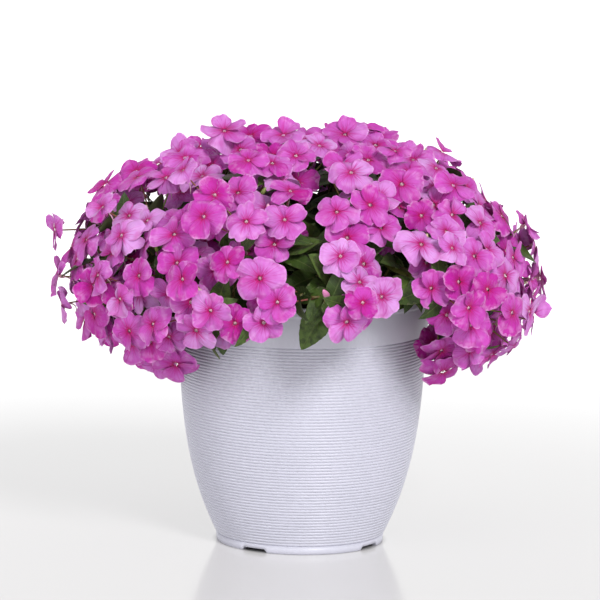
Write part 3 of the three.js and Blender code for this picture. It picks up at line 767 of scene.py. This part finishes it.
def add_inner_leaves(clay, branch, centres, rng):
    """Leaves along a branch, in the shade under the blooms."""
    route = branch["route"]
    length = np.linalg.norm(np.diff(route, axis=0), axis=1).sum()
    shares = np.arange(*INNER_SHARES, INNER_STEP / length)
    seats = along(route, shares)
    tangents = seats - along(route, shares - 0.02)
    start = rng.uniform(0, 2 * math.pi)
    for i, (share, seat, tangent) in enumerate(zip(shares, seats, tangents)):
        for turn in circle(INNER_TRIES):
            around = start + i * GOLDEN_ANGLE + turn
            leaf = inner_leaf(seat, unit(tangent), around, int(share > INNER_LATE), rng)
            if has_room(leaf, centres, INNER_DOME):
                add_leaf(clay, leaf, rng, sides=4, rows=10, columns=5)
                break


def upper_leaf(root, blooms, rng):
    """A small leaf on a long petiole that spreads under the gap between two blooms of a bunch."""
    one, other = (blooms[i].centre for i in rng.integers(len(blooms), size=2))
    rise = (one + other) / 2 - root
    away = unit(rise)
    side = unit(np.cross(away, rng.normal(size=3)))
    pitch = rng.uniform(*UPPER_PITCHES)
    forward = math.cos(pitch) * side + math.sin(pitch) * away
    base = root + rng.uniform(*UPPER_RISES) * rise
    length = rng.uniform(*UPPER_LENGTHS)
    droop = rng.uniform(*UPPER_DROOPS)
    return Leaf(root, base, axes_of(forward, away), length, droop, rng.uniform(*UPPER_FOLDS))


def add_upper_leaves(clay, branch, centres, rng):
    """Small leaves round the tip of a branch, close under its blooms and apart from each other."""
    middles = []
    for _ in range(UPPER_TRIES):
        if len(middles) == UPPER_LEAVES:
            break
        leaf = upper_leaf(branch["root"], branch["blooms"], rng)
        middle = leaf.base + leaf.length / 2 * leaf.axes[0]
        apart = all(np.linalg.norm(middle - other) > UPPER_ROOM for other in middles)
        if apart and has_room(leaf, centres, UPPER_DOME):
            add_leaf(clay, leaf, rng, sides=4, rows=9, columns=5)
            middles.append(middle)


STEM_POINTS = 30
STEM_SIDES = 9
STEM_JOINTS = 6
STEM_RADII = {"root": 4.1, "taper": 1.0, "joint": 0.7}  # millimetres
STEM_TINTS = (0.2, 0.9)
TRUNK_POINTS = ((-25, 4.6), (-10, 4.8), (0, 5), (5, 5.4), (10, 6.2), (15, 7.6), (20, 8.2), (23, 5.5))
TRUNK_SIDES = 12
TRUNK_TINT = 0.8


def add_stem(clay, branch, rng):
    """A fleshy branch, swollen at its joints."""
    shares = np.linspace(0, 1, STEM_POINTS)
    joints = np.exp(-(((shares * STEM_JOINTS + rng.uniform(0, 1)) % 1 - 0.5) ** 2) / 0.01)
    radii = STEM_RADII["root"] - STEM_RADII["taper"] * shares + STEM_RADII["joint"] * joints
    route = along(branch["route"], shares)
    add_tube(clay, route, radii * MM, STEM_SIDES, CORE, rng.uniform(*STEM_TINTS))


def add_trunk(clay, crown):
    """The foot of a plant, from its root in the soil to the crown that its branches leave."""
    heights, radii = np.array(TRUNK_POINTS).T * MM
    add_tube(clay, crown + np.outer(heights, UP), radii, TRUNK_SIDES, CORE, TRUNK_TINT)


# ---- Pot and soil ----

POT_TOP = 252 * MM
RIM_RADIUS = 127 * MM
FOOT_RADIUS = 83 * MM
FOOT_INNER = 77 * MM
BELLY = ((83.5, 8), (94, 30.5), (105, 63), (113.7, 99.5), (120.8, 160), (124, 211.6))  # radius, height
BELLY_POWERS = 4
RIB_COUNT = 66
RIB_DEPTH = 1.0 * MM
RIB_PROFILE = ((0.0, 1.0), (0.16, 0.36), (0.38, 0.0), (0.62, 0.0), (0.84, 0.36))  # phase, depth
LIP_HEIGHT = 10 * MM
# Millimetres outwards and upwards, from a radius and a height that the pot's profiles name.
FOOT_INSIDE, FOOT_OUTSIDE = ((0, 0.5), (0.6, 0)), ((-0.6, 0), (0, 0.6))
BAND_EDGE = ((0.3, 1.0),)
LIP_EDGE = ((-1.6, -1), (-1.2, 0), (-0.3, 1.1), (0, 2))
RIM_EDGE = ((0, -1.4), (-0.4, -0.4), (-1.3, 0), (-2.8, 0))
RIM_INSIDE = ((-3.7, -0.4), (-4, -1.4), (-4.2, -12))
NOTCH_AZIMUTHS = (-33, 57, 147, 237)
NOTCH_WIDTHS = (29 * MM, 24 * MM)  # at the ground and at its top
NOTCH_HEIGHT = 3.5 * MM
POT_COLUMNS = 96
FLOOR_HEIGHTS = (5 * MM, 9 * MM)
DRAIN = {"radius": 6 * MM, "ring": 55 * MM, "sides": 20}
WALL = 4 * MM
SOIL_RADIUS = 120.6 * MM
SOIL_GAP = 0.4 * MM
SOIL_RINGS = np.linspace(1, 0.02, 40)
SOIL_WAVES = {"count": 14, "turns": 260, "height": 3.2}  # radians a metre, millimetres
CRUMB_HEIGHT = 0.8  # millimetres
EDGE_SINK = 1.5 * MM


def pot_azimuths():
    """Even azimuths round the pot, and the edges of the notches."""
    azimuths = list(circle(POT_COLUMNS))
    for middle in NOTCH_AZIMUTHS:
        for width in NOTCH_WIDTHS:
            for way in (-1, 1):
                edge = math.radians(middle) + way * width / 2 / FOOT_RADIUS
                azimuths.append(edge % (2 * math.pi))
    return np.array(sorted(azimuths))


def foot_height(azimuths):
    """How high the foot ring's underside is: on the ground, except in the notches."""
    height = np.zeros(len(azimuths))
    for middle in NOTCH_AZIMUTHS:
        turn = (azimuths - math.radians(middle) + math.pi) % (2 * math.pi) - math.pi
        away = abs(turn) * FOOT_RADIUS
        ground, top = (width / 2 for width in NOTCH_WIDTHS)
        height = np.maximum(height, NOTCH_HEIGHT * np.clip((ground - away) / (ground - top), 0, 1))
    return height


def bend(radius, height, offsets):
    """Rows of a profile, by their offsets in millimetres from a radius and a height."""
    return [(radius + out * MM, height + up * MM) for out, up in offsets]


def outer_profile():
    """Radius and height up the outside of the pot, from the foot to the middle of the rim's top."""
    radii, heights = np.array(BELLY).T * MM
    belly = np.polynomial.Polynomial.fit(heights, radii, BELLY_POWERS)
    low, high = heights[0], heights[-1]
    rows = bend(FOOT_RADIUS, 0, FOOT_OUTSIDE) + [(belly(low), low)]
    pitch = (high - low) / RIB_COUNT
    for i in range(RIB_COUNT):
        for phase, depth in RIB_PROFILE:
            height = low + (i + phase) * pitch
            rows.append((belly(height) - depth * RIB_DEPTH, height))
    rows.append((belly(high) - RIB_DEPTH, high))
    rows += bend(belly(high), high, BAND_EDGE)
    return rows + bend(RIM_RADIUS, POT_TOP - LIP_HEIGHT, LIP_EDGE) + bend(RIM_RADIUS, POT_TOP, RIM_EDGE)


def inner_profile():
    """Down the inside from the rim to the floor."""
    wall = [(radius * MM - WALL, height * MM) for radius, height in BELLY[:0:-1]]
    return bend(RIM_RADIUS, POT_TOP, RIM_INSIDE) + wall + [(FOOT_RADIUS - WALL, FLOOR_HEIGHTS[1])]


def turned(profile, azimuths):
    """The points of a profile turned round the pot's axis."""
    radii, heights = np.array(profile, float).T[:, :, None]
    rows = np.broadcast_arrays(radii * np.sin(azimuths), -radii * np.cos(azimuths), heights)
    return np.stack(rows, axis=-1).reshape(-1, 3)


def pierced_disc(outline, height):
    """A flat disc inside a ring of points, with the drain holes left open."""
    work = bmesh.new()
    loops = [outline[:, :2]]
    turns = circle(DRAIN["sides"])
    for azimuth in np.radians(NOTCH_AZIMUTHS):
        middle = DRAIN["ring"] * np.array([math.sin(azimuth), -math.cos(azimuth)])
        loops.append(middle + DRAIN["radius"] * np.stack([np.cos(turns), np.sin(turns)], axis=1))
    for loop in loops:
        corners = [work.verts.new((x, y, height)) for x, y in loop]
        for one, other in zip(corners, corners[1:] + corners[:1]):
            work.edges.new((one, other))
    bmesh.ops.triangle_fill(work, use_beauty=True, edges=work.edges[:], normal=(0, 0, 1))
    work.verts.index_update()
    points = np.array([v.co[:] for v in work.verts])
    faces = [[v.index for v in f.verts] for f in work.faces]
    work.free()
    return points, faces


def make_pot(material):
    """One closed body: the turned wall, the floor's two sides and the walls of the drain holes."""
    azimuths = pot_azimuths()
    count = len(azimuths)
    profile = [(FOOT_INNER, FLOOR_HEIGHTS[0])] + bend(FOOT_INNER, 0, FOOT_INSIDE)
    profile += outer_profile() + inner_profile()
    wall = turned(profile, azimuths)
    wall[:, 2] = np.maximum(wall[:, 2], np.tile(foot_height(azimuths), len(profile)))
    under, under_faces = pierced_disc(wall[:count], FLOOR_HEIGHTS[0])
    floor, floor_faces = pierced_disc(wall[-count:], FLOOR_HEIGHTS[1])
    points = np.concatenate([wall, under[count:], floor[count:]])
    # Each disc's outline is an end of the turned wall, whose points it shares.
    holes = np.arange(len(wall), len(points)).reshape(2, -1)
    under_at = np.concatenate([np.arange(count), holes[0]])
    floor_at = np.concatenate([np.arange(len(wall) - count, len(wall)), holes[1]])
    faces = ring_faces(grid(len(profile), count))
    faces += [under_at[face[::-1]] for face in under_faces]
    faces += [floor_at[face] for face in floor_faces]
    for first in range(0, holes.shape[1], DRAIN["sides"]):
        faces += ring_faces(holes[:, first : first + DRAIN["sides"]][:, ::-1])
    clay = Clay()
    clay.add(points, faces)
    clay.piece("ribbed_pot", [material], "pot", ["pot"])


def make_soil(material, rng):
    """Crumbly soil that fills the pot to just under its rim."""
    azimuths = circle(POT_COLUMNS)
    waves = rng.uniform(-1, 1, (SOIL_WAVES["count"], 2)) * SOIL_WAVES["turns"]
    shifts = rng.uniform(0, 2 * math.pi, SOIL_WAVES["count"])
    side = [(radius - SOIL_GAP, height + SOIL_GAP) for radius, height in inner_profile()[::-1]]
    side = side[: -len(RIM_INSIDE)]
    top = turned([(SOIL_RADIUS * ring, SOIL_LEVEL) for ring in SOIL_RINGS], azimuths)
    ripple = SOIL_WAVES["height"] * np.sin(top[:, :2] @ waves.T + shifts).mean(axis=1)
    crumbs = rng.uniform(-1, 1, len(top)) * CRUMB_HEIGHT
    inwards = np.repeat(smooth(1 - SOIL_RINGS, 0, 0.1), len(azimuths))
    top[:, 2] += (ripple + crumbs) * MM * inwards - EDGE_SINK * (1 - inwards)
    clay = Clay()
    points = np.concatenate([turned(side, azimuths), top])
    clay.add(points, rod_faces(len(side) + len(SOIL_RINGS), len(azimuths)))
    clay.piece("loose_soil", [material], "soil", ["soil"])


# ---- Materials ----

MIX_INPUTS = (0, 6, 7)  # of a node that mixes colours: the share of the second, and both


def shade(hexcode):
    """A linear colour from the usual six hexadecimal digits."""
    values = [int(hexcode[i : i + 2], 16) / 255 for i in (0, 2, 4)]
    return tuple(v / 12.92 if v < 0.04045 else ((v + 0.055) / 1.055) ** 2.4 for v in values) + (1.0,)


class Paint:
    """Shorthand for the nodes of one material. Colours are sockets or six hexadecimal digits."""

    def __init__(self, name, **settings):
        self.material = bpy.data.materials.new(name)
        self.material.use_nodes = True
        self.tree = self.material.node_tree
        self.shader = self.tree.nodes["Principled BSDF"]
        for name, value in settings.items():
            self.put(self.socket(name), value)

    def socket(self, name):
        return self.shader.inputs[name.replace("_", " ")]

    def put(self, socket, value):
        if isinstance(value, bpy.types.NodeSocket):
            self.tree.links.new(value, socket)
        else:
            socket.default_value = shade(value) if isinstance(value, str) else value

    def node(self, kind, *inputs, **settings):
        node = self.tree.nodes.new(kind)
        for name, value in settings.items():
            setattr(node, name, value)
        for socket, value in zip(node.inputs, inputs):
            self.put(socket, value)
        return node

    def math(self, operation, *inputs):
        return self.node("ShaderNodeMath", *inputs, operation=operation).outputs[0]

    def times(self, one, other):
        return self.math("MULTIPLY", one, other)

    def rise(self, value, low, high):
        """0 below low, 1 above high."""
        node = self.node("ShaderNodeMapRange", value, low, high, 0.0, 1.0, interpolation_type="SMOOTHSTEP")
        return node.outputs[0]

    def fall(self, value, low, high):
        """1 below low, 0 above high."""
        return self.math("SUBTRACT", 1.0, self.rise(value, low, high))

    def mix(self, share, one, other):
        node = self.node("ShaderNodeMix", data_type="RGBA")
        for i, value in zip(MIX_INPUTS, (share, one, other)):
            self.put(node.inputs[i], value)
        return node.outputs[2]

    def cover(self, body, colour, where, share):
        """A body with a colour laid over it: the share that covers it, where a mask is 1."""
        return self.mix(self.times(where, share), body, colour)

    def ramp(self, value, stops):
        node = self.node("ShaderNodeValToRGB", value)
        elements = node.color_ramp.elements
        while len(elements) < len(stops):
            elements.new(0.5)
        for element, (position, colour) in zip(elements, stops.items()):
            element.position, element.color = position, shade(colour)
        return node.outputs[0]

    def noise(self, scale, detail=3.0, roughness=0.5, at=None):
        node = self.node("ShaderNodeTexNoise", self.position() if at is None else at)
        for name, value in (("Scale", scale), ("Detail", detail), ("Roughness", roughness)):
            node.inputs[name].default_value = value
        return node.outputs[0]

    def tint(self):
        return self.node("ShaderNodeAttribute", attribute_name="tint").outputs["Fac"]

    def place(self):
        """The three parts of a point's place on its petal or leaf."""
        place = self.node("ShaderNodeAttribute", attribute_name="place").outputs["Vector"]
        return tuple(self.node("ShaderNodeSeparateXYZ", place).outputs)

    def vector(self, x, y, z):
        return self.node("ShaderNodeCombineXYZ", x, y, z).outputs[0]

    def position(self):
        return self.node("ShaderNodeTexCoord").outputs["Object"]

    def colour(self, socket):
        self.put(self.socket("Base Color"), socket)

    def roughness(self, socket):
        self.put(self.socket("Roughness"), socket)

    def let_through(self, colour, share):
        """Some of the light that falls on the back of a thin body shows on its front."""
        glow = self.node("ShaderNodeBsdfTranslucent", colour)
        mixed = self.node("ShaderNodeMixShader", share, self.shader.outputs[0], glow.outputs[0])
        self.put(self.tree.nodes["Material Output"].inputs["Surface"], mixed.outputs[0])

    def bump(self, height, distance, strength):
        node = self.node("ShaderNodeBump")
        for name, value in (("Strength", strength), ("Distance", distance), ("Height", height)):
            self.put(node.inputs[name], value)
        self.put(self.socket("Normal"), node.outputs[0])


def petal_paint(name, faded=0.0):
    """Pink to lilac from bloom to bloom, with deep magenta rays from the eye, paler clouds, rims with a
    painted highlight and a dark line of painted shade where petals meet. A petal's back is faded."""
    paint = Paint(name, Roughness=0.6, Specular_IOR_Level=0.25, Sheen_Weight=0.15, Sheen_Roughness=0.4)
    angle, reach, share = paint.place()
    tint = paint.tint()
    seed = paint.times(tint, 37.0)

    def rays(across, outwards, detail):
        """Noise drawn out from the eye, other on each petal."""
        at = paint.vector(paint.times(angle, across), paint.times(reach, outwards), seed)
        return paint.noise(1.0, detail, at=at)

    streaks = rays(7.0, 1.3, 2.0)
    patches = paint.noise(60.0, 1.0)
    clouds = paint.noise(130.0, 2.0)
    ragged = paint.math("MULTIPLY_ADD", streaks, -0.8, reach)
    spot = paint.math("MULTIPLY_ADD", streaks, -0.3, reach)
    pale = paint.times(paint.rise(clouds, 0.42, 0.75), paint.rise(reach, 0.3, 0.8))
    outer = paint.times(paint.rise(share, 0.88, 1.0), paint.rise(reach, 0.7, 0.95))
    # painted highlight: a pale line along each petal's outer rim, patchy with the clouds
    rim = paint.times(outer, paint.rise(clouds, 0.4, 0.6))
    # painted shade: a dark line along each petal's sides near the eye, where neighbours overlap
    crease_shade = paint.times(paint.rise(share, 0.75, 1.0), paint.fall(reach, 0.7, 0.95))
    body = paint.ramp(tint, {0.0: "d024b2", 0.35: "da52ca", 0.7: "e07adc", 1.0: "ecacf2"})
    deep = paint.ramp(tint, {0.0: "c61090", 1.0: "d640b6"})
    for colour, where, strength in (
        (deep, paint.rise(patches, 0.5, 0.7), 0.45),
        ("f4bcf3", pale, 0.45),
        (deep, paint.rise(streaks, 0.5, 0.75), 0.35),
        (deep, paint.fall(ragged, -0.3, 0.25), 0.85),
        ("d80a7c", paint.fall(ragged, -0.42, -0.02), 0.8),
        ("f8d0f6", rim, 0.32),
        ("b40e8c", crease_shade, 0.5),
        ("c80a5c", paint.fall(spot, -0.1, 0.08), 0.85),
    ):
        body = paint.cover(body, colour, where, strength)
    body = paint.mix(faded, body, "ecb4e8")
    paint.colour(body)
    relief = paint.math("MULTIPLY_ADD", rays(4.0, 1.5, 2.0), 3.0, rays(14.0, 2.0, 3.0))
    paint.bump(relief, 0.6 * MM, 0.8)
    paint.let_through(body, 0.28)
    return paint.material


def anther_paint():
    """White with a pink base, pinker where the tint is low, and nearly black as painted shade in the
    throat's pit.
    """
    paint = Paint("anther", Roughness=0.5)
    height, _, _ = paint.place()
    tint = paint.tint()
    body = paint.ramp(height, {0.0: "b83a8e", 0.6: "ecb8d8", 1.0: "fbeef2"})
    body = paint.mix(paint.rise(tint, 0.3, 0.9), "c2347e", body)
    # tint 0 is that ball of painted shade in the throat
    paint.colour(paint.mix(paint.rise(tint, 0.1, 0.3), "4a0828", body))
    return paint.material


def stalk_paint():
    """Thin stalks: reddish green, and pale pink for calyces and spurs."""
    paint = Paint("stalk", Roughness=0.45)
    grain = paint.noise(420.0)
    body = paint.ramp(paint.tint(), {0.0: "7a8f3c", 0.4: "93703f", 0.75: "9a4a4c", 0.95: "e2b4c6"})
    paint.colour(paint.cover(body, "5c5a2a", grain, 0.25))
    paint.bump(grain, 0.2 * MM, 0.4)
    return paint.material


def bud_paint():
    """Green buds that turn cream, then pink as they grow."""
    paint = Paint("bud", Roughness=0.45)
    height, _, _ = paint.place()
    body = paint.ramp(paint.tint(), {0.0: "8da348", 0.45: "d9cda6", 0.75: "e6a3c6", 1.0: "d0509f"})
    paint.colour(paint.cover(body, "86994a", paint.fall(height, 0.1, 0.5), 0.7))
    paint.bump(paint.noise(500.0), 0.2 * MM, 0.4)
    return paint.material


def leaf_paint(name, faded=0.0):
    """Dark green with a paler midrib and side veins, satin above and dull, greyer underneath."""
    paint = Paint(name, Specular_IOR_Level=0.3)
    along_leaf, across, _ = paint.place()
    side = paint.math("ABSOLUTE", across)
    mottle = paint.noise(160.0, 4.0)
    slanted = paint.math("MULTIPLY_ADD", side, -VEIN_SLANT, along_leaf)
    wave = paint.math("ABSOLUTE", paint.math("SINE", paint.times(slanted, math.pi * VEIN_PAIRS)))
    veins = paint.times(paint.fall(wave, 0.04, 0.22), 0.5)
    lines = paint.math("MAXIMUM", veins, paint.fall(side, 0.02, 0.09))
    body = paint.ramp(paint.tint(), {0.0: "30441a", 0.5: "425923", 1.0: "577031"})
    body = paint.mix(paint.rise(mottle, 0.4, 0.75), body, "2e3c1e")
    body = paint.cover(body, "6f7f45", lines, 0.4)
    body = paint.cover(body, "5c4a30", paint.rise(side, 0.93, 1.0), 0.3)
    paint.colour(paint.mix(faded, body, "6b7350"))
    paint.roughness(paint.math("MULTIPLY_ADD", mottle, 0.25, 0.32 + 0.3 * faded))
    paint.bump(paint.math("MULTIPLY_ADD", lines, -0.6, paint.noise(900.0, 2.0)), 0.4 * MM, 0.6)
    return paint.material


def stem_paint():
    """Fleshy stems, from green to brownish red."""
    paint = Paint("stem", Roughness=0.42)
    grain = paint.noise(220.0, 4.0)
    body = paint.ramp(paint.tint(), {0.0: "6d7f38", 0.6: "6b5a30", 1.0: "5f3a2a"})
    paint.colour(paint.cover(body, "3b3a1c", grain, 0.4))
    paint.bump(grain, 0.4 * MM, 0.5)
    return paint.material


def pot_paint():
    """Pale grey plastic with a breath of lilac, faintly mottled, and duller in patches."""
    paint = Paint("pot_plastic", Specular_IOR_Level=0.5)
    clouds = paint.noise(22.0, 3.0)
    specks = paint.rise(paint.noise(900.0, 2.0), 0.6, 0.8)
    paint.colour(paint.cover(paint.mix(clouds, "c5c5d2", "cccbd8"), "bdbdca", specks, 0.1))
    paint.roughness(paint.math("MULTIPLY_ADD", clouds, 0.12, 0.34))
    return paint.material


def soil_paint():
    """Dark brown crumbs, paler where they stand out."""
    paint = Paint("soil", Roughness=0.95)
    crumbs = paint.noise(320.0, 6.0, 0.7)
    paint.colour(paint.ramp(crumbs, {0.3: "1c130d", 0.55: "3a281b", 0.75: "6b5440"}))
    paint.bump(crumbs, 2.5 * MM, 1.0)
    return paint.material


# ---- The plant ----

BUNCH_SEED, PLANT_SEED, SOIL_SEED = 1000, 2000, 3000
KNOB_MIDDLE = 3.5 * MM
KNOB_RADII = np.array([6.5, 4.6, 4.6]) * MM
KNOB_ABOVE = -np.array([0.2, 0.3, 0.9])
KNOB_TINT = 0.1


def nodes_named(start):
    return sorted(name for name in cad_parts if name.startswith(start))


def grow_bunches(branches, petals, stalks):
    """A piece of petals and a piece of stalks for each bunch, in place of its CAD node. Each branch is
    told its bunch's root and blooms. Returns the centres of all blooms."""
    bunches = []
    for name in nodes_named("bloom_bunch"):
        points, faces = facets(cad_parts[name])
        bunches.append((name, points, read_blooms(points, rings_of(faces))))
    everyone = [bloom for _, _, blooms in bunches for bloom in blooms]
    for i, (name, points, blooms) in enumerate(bunches):
        rng = np.random.default_rng(BUNCH_SEED + i)
        branch = min(branches, key=lambda b: np.linalg.norm(points - b["tip"], axis=1).min())
        axis = branch["axis"]
        root = branch["tip"] + (KNOB_GAP + KNOB_ROOT) * axis
        flowers, stalk = Clay(), Clay()
        extra = under_blooms(blooms, everyone, root, rng)
        everyone += extra
        branch.update(root=root, blooms=blooms + extra)
        for bloom, cells in [(b, OPEN_BLOOM) for b in blooms] + [(b, SHADED_BLOOM) for b in extra]:
            add_petals(flowers, bloom, cells["petal"], rng)
            add_heart(flowers, bloom, rng, lobes=cells is OPEN_BLOOM)
            add_stalk(stalk, bloom, root, cells, rng)
        middle = root + KNOB_MIDDLE * axis
        add_ball(stalk, middle, axes_of(axis, KNOB_ABOVE), KNOB_RADII, SKIN, KNOB_TINT)
        for place in bud_places(blooms, everyone, rng):
            add_bud(stalk, place, root, rng)
        flowers.piece(name.replace("bloom_bunch", "blooms"), petals, "petals", [name])
        stalk.piece(name.replace("bloom_bunch", "bloom_stalks"), stalks, "leaves", [name])
    return np.array([bloom.centre for bloom in everyone])


def grow_plants(plants, centres, green):
    """The leafy stems of each plant in place of its CAD node, and its shaded inner leaves."""
    for i, (name, crown, branches, leaves) in enumerate(plants):
        rng = np.random.default_rng(PLANT_SEED + i)
        stems, inner = Clay(), Clay()
        add_trunk(stems, crown)
        for branch in branches:
            add_stem(stems, branch, rng)
            add_inner_leaves(inner, branch, centres, rng)
            add_upper_leaves(inner, branch, centres, rng)
        for leaf in leaves:
            add_leaf(stems, leaf, rng)
        stems.piece(name.replace("leafy_stems", "stems_and_leaves"), green, "leaves", [name])
        inner.piece(name.replace("leafy_stems", "inner_leaves"), green, "leaves")


plants = []
for name in nodes_named("leafy_stems"):
    points, faces = facets(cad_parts[name])
    crown, branches = read_branches(points, faces)
    plants.append((name, crown, branches, read_leaves(points, rings_of(faces))))
all_branches = [branch for _, _, branches, _ in plants for branch in branches]

petals = [petal_paint("petal"), anther_paint(), petal_paint("petal_back", 0.4)]
centres = grow_bunches(all_branches, petals, [stalk_paint(), bud_paint()])
grow_plants(plants, centres, [leaf_paint("leaf"), stem_paint(), leaf_paint("leaf_back", 0.7)])
make_pot(pot_paint())
make_soil(soil_paint(), np.random.default_rng(SOIL_SEED))


# ---- Studio ----

FLOOR_REACH = 40.0
FLOOR_SHADED_TONES = ("a6a5a5", "e0e0e0")  # near the pot, darker as painted shade, and far from it
# painted light: the floor glows, brighter far from the pot
FLOOR_GLOW = ((0.3, 0.295, 0.29, 1), (0.6, 0.6, 0.6, 1))
FLOOR_FADE = (0.45, 2.0)  # distances from the pot's axis
FLOOR_SHADE = (FOOT_RADIUS - 4 * MM, FOOT_RADIUS + 6 * MM)  # no glow within the first of them
SKY = {"horizon": 1.1, "above": 0.56, "between": (0.2, 0.35)}  # strengths, and sines of elevation
SKY_COLOUR = (0.98, 0.99, 1.0, 1)
# Where each stands, how many degrees wide it is and its strength.
SUNS = {"key": ((0.38, -0.82, 0.58), 16, 2.0), "fill": ((-0.75, -0.65, 0.3), 50, 0.6)}
CAMERA = {"distance": 5.0, "lens": 300, "sensor": 36, "reach": 200, "elevation": 8.77, "roll": 0.8}
CAMERA_SHIFT = {"up": 0.2381, "right": -0.0029}


def make_floor():
    """A pale glossy floor with painted light and shade: its glow and tone brighten away from the pot, and
    it is dark under it where the glow stops.
    """
    mesh = bpy.data.meshes.new("floor")
    corners = [(FLOOR_REACH * x, FLOOR_REACH * y, 0) for x, y in ((-1, -1), (1, -1), (1, 1), (-1, 1))]
    mesh.from_pydata(corners, [], [(0, 1, 2, 3)])
    floor = add_object("floor", mesh)
    paint = Paint("floor", Roughness=0.15, Specular_IOR_Level=0.45, Emission_Strength=1.0)
    distance = paint.node("ShaderNodeVectorMath", paint.position(), operation="LENGTH").outputs["Value"]
    far = paint.rise(distance, *FLOOR_FADE)
    paint.colour(paint.mix(far, *FLOOR_SHADED_TONES))
    glow = paint.mix(paint.rise(distance, *FLOOR_SHADE), "000000", paint.mix(far, *FLOOR_GLOW))
    paint.put(paint.socket("Emission_Color"), glow)
    mesh.materials.append(paint.material)


def add_sun(name, place, spread, strength):
    """Soft light from one side, the same all round the object."""
    lamp = bpy.data.lights.new(name, "SUN")
    lamp.angle, lamp.energy = math.radians(spread), strength
    light = add_object(name, lamp)
    light.location = place
    light.rotation_euler = Vector(place).to_track_quat("Z", "Y").to_euler()


def make_light():
    """A pale surround that is brightest near the horizon, a soft key light and a weak fill."""
    world = bpy.data.worlds.new("studio")
    world.use_nodes = True
    nodes, links = world.node_tree.nodes, world.node_tree.links
    background = nodes["Background"]
    background.inputs["Color"].default_value = SKY_COLOUR
    direction = nodes.new("ShaderNodeTexCoord")
    parts = nodes.new("ShaderNodeSeparateXYZ")
    strength = nodes.new("ShaderNodeMapRange")
    levels = (*SKY["between"], SKY["horizon"], SKY["above"])
    for socket, value in zip(strength.inputs[1:5], levels):
        socket.default_value = value
    links.new(direction.outputs["Generated"], parts.inputs[0])
    links.new(parts.outputs["Z"], strength.inputs[0])
    links.new(strength.outputs[0], background.inputs["Strength"])
    bpy.context.scene.world = world
    for name, settings in SUNS.items():
        add_sun(name, *settings)


def make_camera():
    """The photograph's view: from five metres off, a little above the pot and very slightly rolled."""
    data = bpy.data.cameras.new("camera")
    data.lens, data.sensor_width, data.clip_end = CAMERA["lens"], CAMERA["sensor"], CAMERA["reach"]
    camera = add_object("camera", data)
    tilt = math.radians(CAMERA["elevation"])
    forward = np.array([0, math.cos(tilt), -math.sin(tilt)])
    above = np.array([0, math.sin(tilt), math.cos(tilt)])
    place = CAMERA_SHIFT["up"] * above - CAMERA["distance"] * forward + [CAMERA_SHIFT["right"], 0, 0]
    camera.location = place.tolist()
    roll = Matrix.Rotation(math.radians(CAMERA["roll"]), 3, "Z")
    camera.rotation_euler = (Matrix.Rotation(math.pi / 2 - tilt, 3, "X") @ roll).to_euler()
    bpy.context.scene.camera = camera


make_floor()
make_light()
make_camera()
bpy.context.scene.view_settings.view_transform = "Standard"
